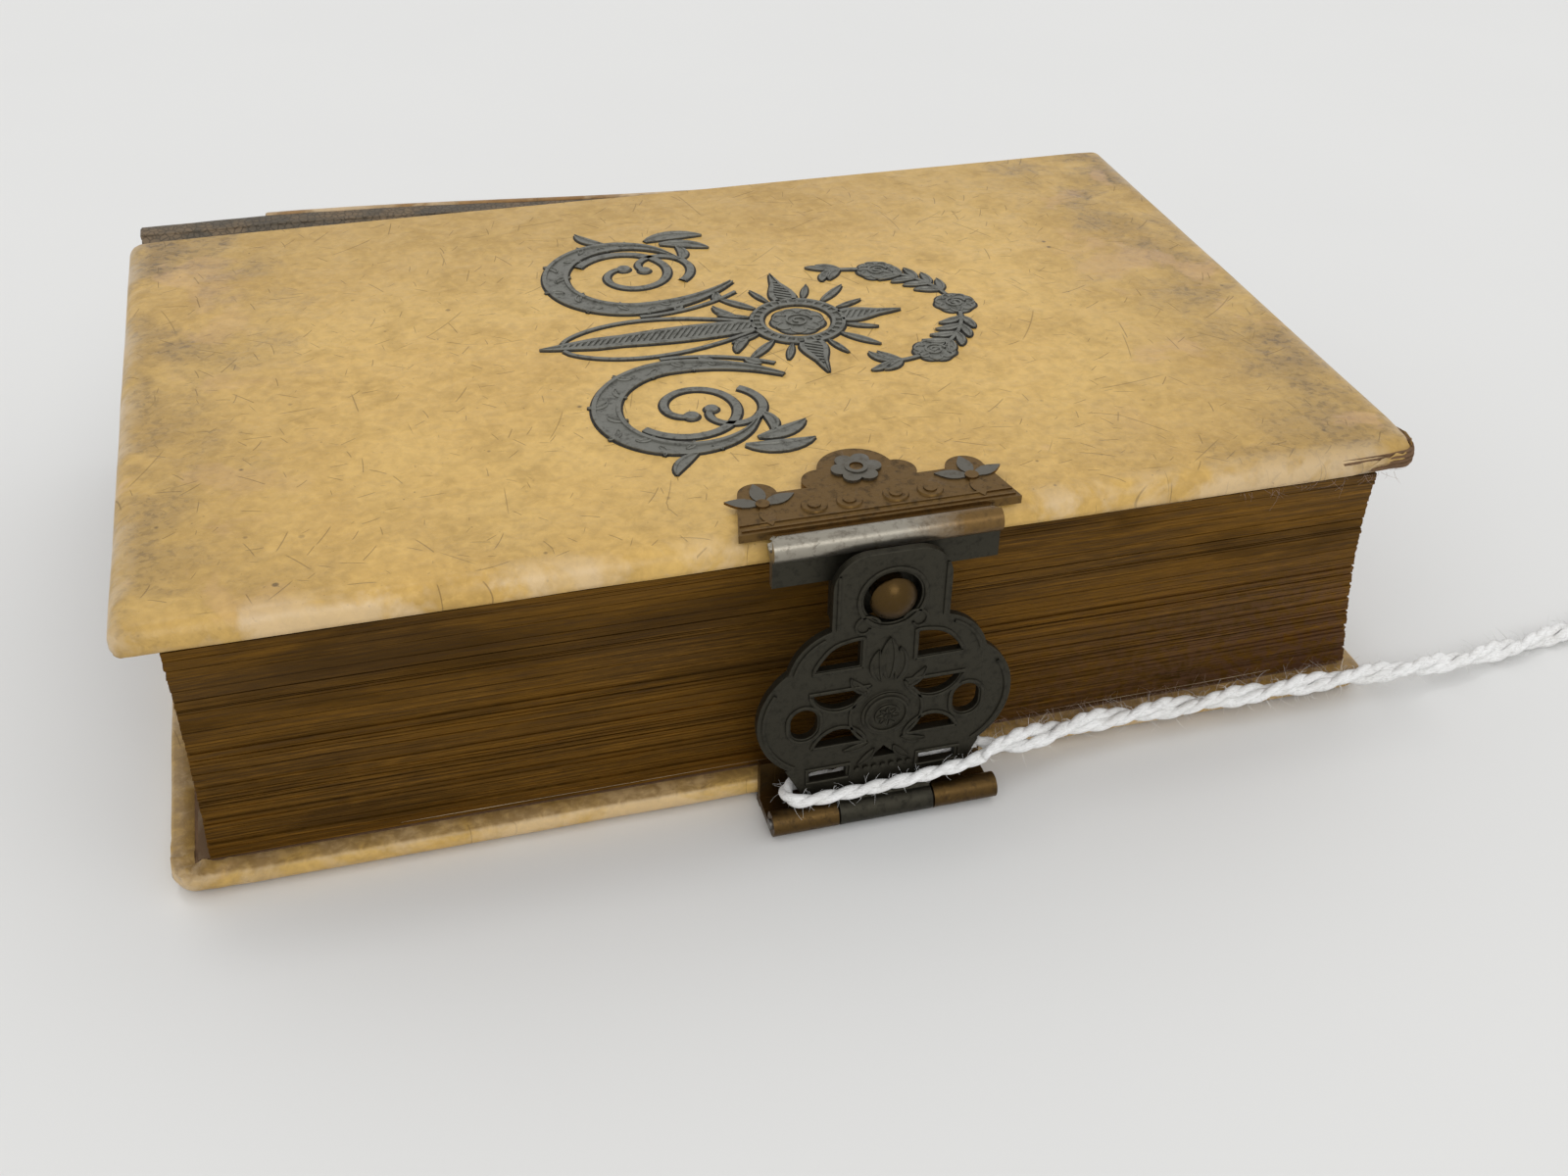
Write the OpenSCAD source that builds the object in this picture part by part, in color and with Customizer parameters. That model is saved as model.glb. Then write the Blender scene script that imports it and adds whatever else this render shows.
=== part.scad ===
// Small clasped prayer book: celluloid plates over boards, round-backed text block, leather joints,
// celluloid spine, pierced brass hasp that swings up from the back cover onto a stud on the front.
// X runs from tail to head, Y from fore edge to spine, Z up from the back cover. Millimetres.

/* [Covers] */
// Length of each cover, tail to head
cover_len = 113; // [90:1:140]
// Depth of each cover, fore edge to joint
cover_depth = 70.4; // [60:0.2:90]
// Thickness of the boards
board_t = 1.55; // [1.2:0.05:2.5]
// Thickness of the celluloid plates
plate_t = 0.9; // [0.7:0.05:1.2]
// Thickness of the paste-downs
paste_t = 0.12; // [0.1:0.01:0.2]
// Radius of the two fore corners, seen from above
corner_r = 2; // [2:0.1:4]
// Rounding of the plates' turned-down edge
edge_r = 1.3; // [0.8:0.1:1.6]
// Margin of bare board around a paste-down
paste_margin = 2.4; // [1.5:0.1:4]

/* [Text block] */
// How far the covers overhang the leaves at the tail
tail_square = 3.4; // [1.5:0.1:4]
// How far the covers overhang the leaves at the head
head_square = 1.5; // [1:0.1:4]
// How far the covers overhang the leaves at the fore edge
fore_square = 2.2; // [1.4:0.1:3]
// Sewn gatherings that stay together
gathering_count = 16; // [12:1:18]
// Thickness of one gathering
gathering_t = 1.38; // [1.1:0.01:1.6]
// Thickness of each small group of leaves that lifts with the front cover
lift_t = 0.36; // [0.25:0.01:0.45]
// Thickness of a flyleaf
flyleaf_t = 0.12; // [0.1:0.01:0.2]
// How far the back of the leaves is rounded out
back_round = 3.2; // [2:0.1:4]
// How deep the fore edge is hollowed
fore_hollow = 1.4; // [0.6:0.1:2]
// Width of a sewing tape
tape_w = 5; // [3:0.5:8]
// Diameter of the head and tail bands
band_d = 1.1; // [0.8:0.1:1.6]

/* [Spine] */
// Thickness of the leather
leather_t = 0.8; // [0.6:0.05:1]
// Free gap between a board and its joint line
joint_gap = 1.6; // [1.4:0.1:2.2]
// Width of the spine's shoulder behind the joint line
shoulder_w = 3; // [2.6:0.1:4]
// How far the spine is rounded out
spine_round = 1.2; // [0.8:0.1:2]
// Thickness of the celluloid spine plate
spine_plate_t = 0.9; // [0.7:0.05:1.2]
// Length of leather left bare at the tail of the spine
bare_tail = 13; // [5:0.5:25]
// How much shorter the leather is than the covers, at each end
leather_short = 1.5; // [0.5:0.1:3]

/* [Clasp] */
// Distance of the clasp from the middle of the fore edge, towards the head
clasp_x = 4.9; // [-10:0.1:10]
// Thickness of the hasp
hasp_t = 0.8; // [0.6:0.05:1]
// Height of the hasp's top above the hinge line
hasp_h = 26.9; // [26:0.1:28]
// Half the width of the hasp across its large lobes
lobe_reach = 11.6; // [10.8:0.1:12.5]
// Radius of the hasp's large lobes
lobe_r = 6.6; // [6.3:0.1:6.8]
// Width of the hasp's neck
neck_w = 10.4; // [9.6:0.1:11.4]
// Diameter of the stud's head
stud_d = 4.2; // [3.6:0.1:4.6]
// Thickness of the catch plate
catch_t = 0.75; // [0.6:0.05:1]
// Width of the catch plate along the fore edge
catch_w = 24.6; // [22:0.2:30]
// Depth of the catch plate on the cover, to the foot of its crest
catch_depth = 5.6; // [5:0.2:8]
// Diameter of the hinge barrel
barrel_d = 2.3; // [2:0.1:2.4]
// Length of the hinge barrel
barrel_len = 21; // [19:0.2:24]
// Diameter of the hinge pin
pin_d = 1; // [0.8:0.05:1.2]
// Distance of the hinge line in front of the covers
hinge_reach = 4.6; // [4.3:0.1:5.4]

/* [Ornament] */
// Thickness of the metal ornament on the front cover
ornament_t = 0.35; // [0.2:0.05:0.5]
// Length of the cross, foot to head
cross_len = 37; // [30:0.5:42]
// Span of the cross's arms
cross_span = 22; // [18:0.5:24]
// Width of the cross's bars
bar_w = 2.6; // [1.6:0.1:3]
// Radius of the large scrolls
scroll_r = 8; // [6:0.1:8.4]
// Radius of the garland
garland_r = 10.2; // [9:0.1:10.6]
// Radius of a rose
rose_r = 2.1; // [1.6:0.1:2.4]

/* [String] */
// Diameter of one strand of the string
strand_d = 1.3; // [1:0.05:1.35]
// Diameter of the two strands laid together
string_d = 2.1; // [1.8:0.1:2.2]

/* [Hidden] */
$fn = 64;
wide_arc = 160;
fit = 0.05;
leaf_gap = 0.03;
lift_count = 3;
cover_t = plate_t + board_t;
rim_t = plate_t;
block_z = cover_t + paste_t + fit;
stack_z = block_z + flyleaf_t;
stack_top = stack_z + gathering_count * gathering_t;
lift_z = stack_top + leaf_gap;
lift_pitch = lift_t + leaf_gap;
front_fly_z = lift_z + lift_count * lift_pitch;
book_t = front_fly_z + flyleaf_t + fit + paste_t + cover_t;
mid_z = book_t / 2;

// Fore and back limits of the covers, then of the leaves
fore_y = -cover_depth / 2;
joint_edge_y = cover_depth / 2;
joint_y = joint_edge_y + joint_gap;
shoulder_y = joint_y + shoulder_w;
leaf_len = cover_len - tail_square - head_square;
leaf_mid = (tail_square - head_square) / 2;
leaf_fore_y = fore_y + fore_square;
leaf_back_y = joint_edge_y - 0.6;
leaf_half = (book_t - 2 * block_z) / 2;

// Radius of an arc from half its chord and its rise
function arc_radius(half, rise) = (half * half + rise * rise) / (2 * rise);
back_r = arc_radius(leaf_half, back_round);
back_c = leaf_back_y + back_round - back_r;
fore_r = arc_radius(leaf_half, fore_hollow);
fore_c = leaf_fore_y + fore_hollow - fore_r;
function back_at(z) = back_c + sqrt(back_r * back_r - (z - mid_z) * (z - mid_z));
// Back limit of a fold of radius r that touches the rounded back from inside
function fold_back(z, r) = back_c + sqrt(pow(back_r - r, 2) - pow(z - mid_z, 2)) + r;

// Leather spine: a shallow arc between two shoulders
sink = 0.2;
spine_half = mid_z - sink;
spine_r = arc_radius(spine_half, spine_round);
spine_c = shoulder_y + spine_round - spine_r;
joint_z = sink + leather_t / 2;
strip_start = joint_y + 0.9;
leather_len = cover_len - 2 * leather_short;
tape_t = 0.3;
tape_x = leaf_len * 0.3;
lining_t = 0.4;
card_t = 0.5;

// Clasp: the hinge line, the hasp's plane and the catch's lip
pin_r = pin_d / 2;
barrel_r = barrel_d / 2;
hinge_y = fore_y - hinge_reach;
hinge_z = barrel_r + 0.25;
hasp_y = hinge_y + 1;
hasp_top = hinge_z + hasp_h;
foot_z = hinge_z + barrel_r + 0.2;
foot_half = 7.2;
knuckle_half = barrel_len * 0.207;
knuckle_gap = 0.15;
flange_t = 0.7;
flange_h = 5;
leaf_t = 0.6;
rivet_r = 0.6;
lobe_z = hinge_z + 10.4;
upper_reach = 3.8;
upper_r = 5.2;
upper_z = hinge_z + 14.6;
boss_z = hinge_z + 9.9;
boss_r = 2.3;
roll_r = 1.1;
roll_y = fore_y - roll_r - 0.15;
roll_z = book_t - 0.25;
relief_t = 0.12;
roll_half = catch_w / 2 - 2.4;
lip_y = roll_y - catch_t / 2;
lip_low = book_t - 3.8;
stud_z = hasp_top - 4.6;
stud_hole = stud_d / 2 + 0.45;
shank_r = stud_d * 0.36;
tongue_w = neck_w - 0.8;
tongue_low = stud_z - 2.8;
crest_r = 3.4;
crest_rise = crest_r * 0.53;
wing_r = crest_r / 2;
wing_in = crest_r * 0.9;
lobe_y = fore_y + catch_depth;

// Whole-object centring across the book
low_y = hinge_y - barrel_r;
high_y = shoulder_y + spine_round + spine_plate_t;
centre_y = (low_y + high_y) / 2;

// Centre of the cross on the front cover, and the pitch of what repeats on the ornament
cross_x = 8;
cross_y = 1;
foot_x = cross_x + cross_span / 2 - cross_len;
scroll_w = 1.9;
leaf_long = 3.4;

// The string: round the hasp's foot, down to the table and along the book to a knot
loop_route = [
    [14, -39.45, 4.6], [12.4, -39.7, 4.4], [10.5, -39.7, 4.15], [8.5, -39.7, 3.9], [6, -39.7, 3.65],
    [4, -39.7, 3.55], [2, -39.7, 3.45], [0, -39.7, 3.4], [-1.6, -39.7, 3.35], [-3.05, -39.55, 3.35],
    [-3.75, -39, 3.35], [-3.9, -38.4, 3.35], [-3.7, -37.8, 3.35], [-3.05, -37.2, 3.35], [-1.6, -37.15, 3.4],
    [2, -37.15, 3.5], [6, -37.15, 3.7], [9.5, -37.15, 4], [12.3, -37.15, 4.4], [14, -37.2, 4.6]
];
run_route = [
    [14.6, -38.35, 4.75], [16.8, -38.4, 4.8], [19.5, -38.1, 4.65], [22.5, -37.3, 4.3], [26, -36.5, 3.8],
    [30, -36.2, 3.5], [34, -36.1, 3.35], [38, -36.1, 3.3], [43, -36.1, 3.3], [48, -36.1, 3.3], [53, -36.1, 3.25],
    [57, -36, 3], [61, -35.7, 2.6], [65, -35.3, 2.1], [70, -34.6, 1.6], [75, -33.8, 1.25], [80, -33, 1.1],
    [84, -32.5, 1.1], [88, -32.1, 1.1]
];

ROOT_NODES = ["back_board", "back_plate", "back_pastedown", "back_leather", "hinge_plate", "hinge_pin",
    "hinge_rivets", "string_run", "string_knot"];
HASP_NODES = ["hasp", "string_loop"];
BLOCK_NODES = ["back_flyleaf", "sewing_tapes", "spine_lining", "head_band", "tail_band", "spine_card",
    "spine_leather", "spine_plate"];
COVER_NODES = ["front_board", "front_plate", "front_pastedown", "front_leather", "cover_cross",
    "cover_scrolls", "cover_garland", "catch_plate", "catch_stud", "catch_rivets"];
function gathering_name(i) = str("gathering_", i);
function lift_name(i) = str("leaf_group_", i);

// ---- placing helpers ----

// Everything is drawn about the middle of the covers, then centred across the whole book
module placed() {
    translate([0, -centre_y, 0]) children();
}

// Turns an outline drawn in Y and Z into a bar along X
module along_x(len) {
    rotate([90, 0, 90]) linear_extrude(len, center = true) children();
}

// The same, as long as the leaves and where they lie between the covers
module along_leaves() {
    translate([leaf_mid, 0, 0]) along_x(leaf_len) children();
}

// Turns an outline drawn in X and Z into a plate that stands on the fore side, front face at y
module upright(y, t) {
    translate([0, y + t, 0]) rotate([90, 0, 0]) linear_extrude(t) children();
}

// The front cover's shapes, turned over for the back cover
module turned_over() {
    translate([0, 0, book_t]) mirror([0, 0, 1]) children();
}

module at_clasp() {
    translate([clasp_x, 0, 0]) children();
}

module both_sides() {
    children();
    mirror([1, 0, 0]) children();
}

// A tube of diameter d swept along a list of points, as one closed surface
module tube(route, d, sides = 8) {
    last = len(route) - 1;
    function way(i) = let (v = route[min(i + 1, last)] - route[max(i - 1, 0)]) v / norm(v);
    function side(i) = let (w = cross(way(i), [0, 0, 1])) w / norm(w);
    function up(i) = cross(side(i), way(i));
    rings = [for (i = [0:last]) for (k = [0:sides - 1]) let (a = 360 * k / sides)
        route[i] + d / 2 * (side(i) * cos(a) + up(i) * sin(a))];
    walls = [for (i = [0:last - 1]) for (k = [0:sides - 1]) let (n = (k + 1) % sides)
        [i * sides + k, i * sides + n, (i + 1) * sides + n, (i + 1) * sides + k]];
    ends = [[for (k = [sides - 1:-1:0]) k], [for (k = [0:sides - 1]) last * sides + k]];
    polyhedron(rings, concat(walls, ends), convexity = 6);
}

// ---- covers ----

// Cover outline with round fore corners; inset shrinks it on the three outer sides, past lengthens the fourth
module cover_outline(inset, r, past = 0) {
    half = cover_len / 2 - inset;
    low = fore_y + inset;
    depth = joint_edge_y + past - low;
    translate([-half + r, low]) square([2 * (half - r), depth]);
    translate([-half, low + r]) square([2 * half, depth - r]);
    for (x = [-half + r, half - r]) translate([x, low + r]) circle(r);
}

// Section of the plate's rounded margin, from the corner's centre outwards
module edge_profile() {
    square([corner_r, cover_t - edge_r]);
    square([corner_r - edge_r, cover_t]);
    intersection() {
        translate([corner_r - edge_r, cover_t - edge_r]) circle(edge_r, $fn = 40);
        square([corner_r, cover_t]);
    }
}

// The plate is a tray of celluloid turned down over three edges of the board
module plate() {
    low = book_t - cover_t;
    board_inset = rim_t - fit;
    difference() {
        translate([0, 0, low]) hull() both_sides() {
            translate([cover_len / 2 - corner_r, fore_y + corner_r, 0]) rotate_extrude($fn = 40) edge_profile();
            translate([cover_len / 2 - corner_r, joint_edge_y, 0]) rotate([90, 0, 0])
                linear_extrude(edge_r) edge_profile();
        }
        translate([0, 0, low - fit]) linear_extrude(board_t + fit)
            cover_outline(board_inset, corner_r - board_inset, 1);
    }
}

module board() {
    translate([0, 0, book_t - cover_t]) linear_extrude(board_t) cover_outline(rim_t, corner_r - rim_t);
}

module pastedown() {
    half = cover_len / 2 - paste_margin;
    translate([-half, fore_y + paste_margin, book_t - cover_t - paste_t])
        cube([2 * half, cover_depth - paste_margin, paste_t]);
}

// Leather pasted on a board's back edge, ending in a bead on the joint line
module joint_leather() {
    paste = 0.4;
    along_x(leather_len) {
        translate([joint_edge_y, book_t - cover_t]) square([paste, cover_t - sink]);
        translate([joint_edge_y, book_t - sink - leather_t]) square([joint_gap, leather_t]);
        translate([joint_y, book_t - joint_z]) circle(leather_t / 2);
    }
}

module front_board() {
    color("saddlebrown") placed() board();
}

module front_plate() {
    color("burlywood") placed() plate();
}

module front_pastedown() {
    color("wheat") placed() pastedown();
}

module front_leather() {
    color([0.25, 0.19, 0.14]) placed() joint_leather();
}

// The back board and plate are let in for the hinge plate's leaf
module back_board() {
    color("saddlebrown") placed() turned_over() board();
}

module back_plate() {
    color("burlywood") placed() difference() {
        turned_over() plate();
        translate([0, 0, -1]) linear_extrude(leaf_t + 1) at_clasp() leaf_outline(barrel_len / 2, fit);
    }
}

module back_pastedown() {
    color("wheat") placed() turned_over() pastedown();
}

module back_leather() {
    color([0.25, 0.19, 0.14]) placed() turned_over() joint_leather();
}

// ---- leaves ----

// Section of a stack of leaves: folded round at the back, cut to the hollow fore edge
module leaf_section(z, t, back) {
    fold = t / 2;
    difference() {
        union() {
            translate([leaf_fore_y, z]) square([back - fold - leaf_fore_y, t]);
            translate([back - fold, z + fold]) circle(fold);
        }
        translate([fore_c, mid_z]) circle(fore_r, $fn = wide_arc);
    }
}

module gathering(i) {
    z = stack_z + (i - 1) * gathering_t;
    fold = gathering_t / 2;
    color("peru") placed() along_leaves() leaf_section(z, gathering_t, fold_back(z + fold, fold));
}

// The leaves that lift all turn about the back of the top gathering
turn_y = back_at(stack_top);

module lifting_leaves(z, t) {
    along_leaves() leaf_section(z, t, min(turn_y, back_at(z + t)));
}

module leaf_group(i) {
    color("tan") placed() lifting_leaves(lift_z + (i - 1) * lift_pitch, lift_t);
}

module front_flyleaf() {
    color("wheat") placed() lifting_leaves(front_fly_z, flyleaf_t);
}

module back_flyleaf() {
    color("wheat") placed() along_leaves() leaf_section(block_z, flyleaf_t, back_at(block_z));
}

// ---- sewing and spine ----

// Band of a circle about (c, mid height), between two radii and within a height
module back_band(c, inner, outer, low, high) {
    intersection() {
        difference() {
            translate([c, mid_z]) circle(outer, $fn = wide_arc);
            translate([c, mid_z]) circle(inner, $fn = wide_arc);
        }
        translate([c, low]) square([2 * outer, high - low]);
    }
}

module sewing_tapes() {
    color("linen") placed() for (x = [-tape_x, 0, tape_x])
        translate([leaf_mid + x, 0, 0]) along_x(tape_w) back_band(back_c, back_r, back_r + tape_t, stack_z, stack_top);
}

module spine_lining() {
    inner = back_r + tape_t;
    color("tan") placed() along_leaves()
        back_band(back_c, inner, inner + lining_t, stack_z, stack_top);
}

// Silk bands at the two ends of the leaves' rounded back
module end_band() {
    r = band_d / 2;
    keep = leaf_half - band_d;
    intersection() {
        translate([0, back_c, mid_z]) rotate([0, 90, 0]) rotate_extrude($fn = wide_arc)
            translate([back_r - r, 0]) circle(r, $fn = 24);
        translate([-band_d, back_c, mid_z - keep]) cube([2 * band_d, 2 * back_r, 2 * keep]);
    }
}

module head_band() {
    color("firebrick") placed() translate([leaf_mid + leaf_len / 2 + band_d / 2, 0, 0]) end_band();
}

module tail_band() {
    color("firebrick") placed() translate([leaf_mid - leaf_len / 2 - band_d / 2, 0, 0]) end_band();
}

// Outline of the leather spine's outer or inner face, between the two joints
module spine_outline(inset) {
    intersection() {
        translate([strip_start, sink + inset]) square([shoulder_w + 2 * spine_round, 2 * (spine_half - inset)]);
        translate([spine_c, mid_z]) circle(spine_r - inset, $fn = wide_arc);
    }
}

module spine_leather() {
    color([0.25, 0.19, 0.14]) placed() along_x(leather_len) difference() {
        spine_outline(0);
        translate([-fit, 0]) spine_outline(leather_t);
        translate([strip_start - leather_t, sink + leather_t])
            square([2 * leather_t, 2 * (spine_half - leather_t)]);
    }
}

// Stiff card inside the hollow of the leather
module spine_card() {
    inner = spine_r - leather_t - 2 * fit;
    low = sink + leather_t + fit;
    color("tan") placed() along_leaves() back_band(spine_c, inner - card_t, inner, low, book_t - low);
}

module spine_plate() {
    len = leather_len - bare_tail;
    low = sink / 2;
    color("goldenrod") placed() translate([(leather_len - len) / 2, 0, 0]) along_x(len)
        back_band(spine_c, spine_r + fit, spine_r + spine_plate_t, low, book_t - low);
}

// ---- clasp: hinge ----

// Crested outline shared by the catch plate and the leaf under the back cover, reach wide to each side
module leaf_outline(reach, grow = 0) {
    half = reach + grow;
    waist = half - crest_r * 0.39;
    low = fore_y - grow;
    polygon([[-half, low], [half, low], [waist, lobe_y + grow], [-waist, lobe_y + grow]]);
    for (s = [-1, 1]) {
        translate([s * (reach - wing_in), lobe_y]) circle(wing_r + grow);
        translate([s * crest_r, lobe_y + wing_r / 2]) circle(wing_r + grow);
    }
    translate([0, lobe_y + crest_rise]) circle(crest_r + grow);
}

module barrel_bar(from, to, r) {
    translate([from, hinge_y, hinge_z]) rotate([0, 90, 0]) cylinder(r = r, h = to - from);
}

// Flange on the back cover's fore edge, a leaf let in under the cover, and the two outer knuckles
module hinge_plate() {
    half = barrel_len / 2;
    web_t = 0.7;
    knuckle_start = knuckle_half + knuckle_gap;
    tight = fit / 5;
    color("darkgoldenrod") placed() at_clasp() difference() {
        union() {
            linear_extrude(leaf_t) {
                leaf_outline(half);
                translate([tight - half, fore_y - flange_t / 2]) square([2 * (half - tight), flange_t]);
            }
            translate([tight - half, fore_y - flange_t, 0]) cube([2 * (half - tight), flange_t, flange_h]);
            both_sides() {
                barrel_bar(knuckle_start, half, barrel_r);
                translate([knuckle_start, hinge_y, hinge_z - barrel_r])
                    cube([half - knuckle_start, hinge_reach - flange_t / 2, web_t]);
            }
        }
        barrel_bar(-half - 1, half + 1, pin_r + tight);
        rivet_places(half) translate([0, 0, -1]) cylinder(r = rivet_r + tight, h = leaf_t + 2);
    }
}

module hinge_pin() {
    over = 0.2;
    color("dimgray") placed() at_clasp() barrel_bar(-barrel_len / 2 - over, barrel_len / 2 + over, pin_r);
}

// Rivets stand on the lobes of the outline
module rivet_places(reach) {
    for (s = [-1, 1]) translate([s * (reach - wing_in), lobe_y - wing_r, 0]) children();
    translate([0, lobe_y + crest_rise, 0]) children();
}

module hinge_rivets() {
    color("darkgoldenrod") placed() at_clasp() rivet_places(barrel_len / 2) cylinder(r = rivet_r, h = leaf_t);
}

// ---- clasp: hasp ----

// Neck with an arched top, a pair of shoulders, a pair of large lobes and a flared foot
module hasp_outline() {
    neck = neck_w / 2;
    arch_r = neck * 0.62;
    flare = 1.8;
    translate([-neck, upper_z]) square([neck_w, hasp_top - arch_r - upper_z]);
    translate([arch_r - neck, upper_z]) square([neck_w - 2 * arch_r, hasp_top - upper_z]);
    for (s = [-1, 1]) {
        translate([s * (neck - arch_r), hasp_top - arch_r]) circle(arch_r);
        translate([s * upper_reach, upper_z]) circle(upper_r);
        translate([s * (lobe_reach - lobe_r), lobe_z]) circle(lobe_r);
    }
    polygon([[-foot_half, foot_z], [foot_half, foot_z], [foot_half + flare, foot_z + 2 * flare],
        [-foot_half - flare, foot_z + 2 * flare]]);
}

// Part of a circle above (or, with side -1, below) the level z
module segment(c, r, z, side) {
    intersection() {
        translate(c) circle(r);
        translate([c[0] - r, side > 0 ? z : z - 2 * r]) square([2 * r, 2 * r]);
    }
}

// Piercings on one side: quarter moon, comma, long hole, low crescent and slot
module hasp_piercings() {
    moon_z = upper_z + 1;
    moon_x = neck_w / 4;
    moon_r = 4.2;
    comma_z = upper_z - 1.5;
    low_z = lobe_z - 3.2;
    hole_r = 1.2;
    hole_x = lobe_reach - 4.2;
    slot = [3.4, 1.3];
    intersection() {
        translate([moon_x, moon_z - moon_r / 3]) circle(moon_r);
        translate([moon_x, moon_z]) square(moon_r);
    }
    segment([4.3, comma_z + 0.6], 2.5, comma_z, -1);
    segment([4.2, low_z - 0.7], 2.3, low_z, 1);
    hull() for (rise = [-0.8, 0]) translate([hole_x, lobe_z + rise]) circle(hole_r);
    translate([slot[0], foot_z + 1.9]) square(slot);
}

module hasp() {
    knuckle_bore = pin_r + fit;
    relief = 0.25;
    overlap = 0.05;
    arm = [
        [hasp_y, foot_z + 0.6], [hasp_y + hasp_t, foot_z + 0.6], [hasp_y + hasp_t, hinge_z - 0.1],
        [hasp_y - 0.1, hinge_z - 0.7], [hinge_y, hinge_z], [hinge_y, hinge_z + barrel_r - overlap]
    ];
    color("dimgray") placed() at_clasp() difference() {
        union() {
            upright(hasp_y, hasp_t) difference() {
                hasp_outline();
                translate([0, stud_z]) circle(stud_hole);
                both_sides() hasp_piercings();
            }
            barrel_bar(-knuckle_half, knuckle_half, barrel_r);
            along_x(2 * knuckle_half) polygon(arm);
            upright(hasp_y - relief, relief + overlap) translate([0, boss_z]) circle(boss_r);
            upright(hasp_y - 2 * relief, relief + overlap) translate([0, boss_z]) circle(boss_r / 2);
        }
        barrel_bar(-barrel_len, barrel_len, knuckle_bore);
    }
}

// ---- clasp: catch ----

// Almond-shaped leaf, tip outwards
module almond(len) {
    w = len * 0.42;
    steps = 6;
    edge = [for (i = [0:steps]) [len * i / steps, w / 2 * sin(180 * i / steps)]];
    polygon(concat(edge, [for (i = [steps - 1:-1:1]) [edge[i][0], -edge[i][1]]]));
}

// Relief on the catch plate: two mouldings, a rose on the crest, a leaf spray on each wing and curls between
module catch_relief() {
    line_w = 0.4;
    spray = crest_r * 0.95;
    curl_r = crest_r * 0.3;
    for (y = [fore_y + line_w, fore_y + 3 * line_w]) translate([-catch_w / 2 + line_w, y])
        square([catch_w - 2 * line_w, line_w / 2]);
    for (s = [-1, 1]) {
        translate([s * (catch_w / 2 - wing_in), lobe_y - wing_r]) for (a = [20, 90, 160, 270]) rotate(a)
            almond(spray);
        for (x = [curl_r * 2, curl_r * 5]) translate([s * x, fore_y + catch_depth / 2]) difference() {
            circle(curl_r);
            circle(curl_r - line_w / 2);
        }
    }
}

// Crested plate on the front cover with a half-round moulding, a lip and the tongue that bears the stud
module catch_plate() {
    tight = fit / 5;
    through = 4 * catch_t;
    groove = catch_t * 0.4;
    top = book_t + catch_t;
    claw_r = roll_r * 0.75;
    color("peru") placed() at_clasp() difference() {
        union() {
            translate([0, 0, book_t]) linear_extrude(catch_t) leaf_outline(catch_w / 2);
            translate([0, 0, top - relief_t]) linear_extrude(2 * relief_t) catch_relief();
            translate([0, lobe_y + crest_rise, book_t]) {
                for (a = [0:60:300]) rotate([0, 0, a]) translate([crest_r * 0.42, 0, 0])
                    cylinder(r = crest_r * 0.24, h = catch_t + 2 * relief_t);
                cylinder(r = crest_r * 0.3, h = catch_t + 3 * relief_t);
            }
            translate([-roll_half, roll_y, book_t]) cube([2 * roll_half, fore_y - roll_y + 1, catch_t - groove]);
            translate([-roll_half, roll_y, roll_z]) rotate([0, 90, 0]) cylinder(r = roll_r, h = 2 * roll_half);
            for (s = [-1, 1]) translate([s * roll_half, fore_y - claw_r, book_t + claw_r / 4]) sphere(claw_r);
            upright(lip_y, catch_t) {
                translate([-roll_half, lip_low]) square([2 * roll_half, roll_z - lip_low]);
                translate([-tongue_w / 2, tongue_low]) square([tongue_w, roll_z - tongue_low]);
            }
        }
        translate([0, lip_y, stud_z]) rotate([90, 0, 0]) cylinder(r = shank_r + tight, h = through, center = true);
        rivet_places(catch_w / 2) translate([0, 0, book_t])
            cylinder(r = rivet_r + tight, h = through, center = true);
    }
}

// Domed stud: shank through the tongue, riveted over behind it
module catch_stud() {
    r = stud_d / 2;
    reach = lip_y - hasp_y + 0.1;
    rise = 1.3;
    upset = 0.3;
    color("goldenrod") placed() translate([clasp_x, lip_y, stud_z]) rotate([90, 0, 0]) rotate_extrude() {
        translate([0, -catch_t - upset]) square([shank_r + upset, upset]);
        translate([0, -catch_t]) square([shank_r, catch_t + reach]);
        intersection() {
            translate([0, reach + rise - arc_radius(r, rise)]) circle(arc_radius(r, rise));
            translate([0, reach]) square([r, rise]);
        }
    }
}

module catch_rivets() {
    color("silver") placed() at_clasp() rivet_places(catch_w / 2) translate([0, 0, book_t])
        cylinder(r = rivet_r, h = catch_t + 2 * relief_t);
}

// ---- ornament on the front cover ----

module on_cover() {
    color("slategray") placed() translate([cross_x, cross_y, book_t]) children();
}

// Flat band along an arc, with a round bead at each end
module scroll_band(c, r, from, to, w) {
    translate(c) {
        rotate([0, 0, from]) rotate_extrude(angle = to - from) translate([r - w / 2, 0]) square([w, ornament_t]);
        for (a = [from, to]) rotate([0, 0, a]) translate([r, 0, 0]) cylinder(d = w * 1.35, h = ornament_t);
    }
}

// One bar of the cross: a long pointed blade from the crossing outwards
module blade(len) {
    flare = min(len * 0.35, 6);
    polygon([[0, 0], [flare, bar_w / 2], [len - 1.6 * bar_w, bar_w / 2], [len, 0],
        [len - 1.6 * bar_w, -bar_w / 2], [flare, -bar_w / 2]]);
}

module cover_cross() {
    ring_r = bar_w * 1.75;
    on_cover() {
        linear_extrude(ornament_t) {
            square(bar_w * 1.15, center = true);
            rotate(180) blade(cross_len - cross_span / 2);
            for (a = [-90, 0, 90]) rotate(a) blade(cross_span / 2);
        }
        rotate_extrude() translate([ring_r, 0]) square([bar_w * 0.4, ornament_t]);
    }
}

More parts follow.
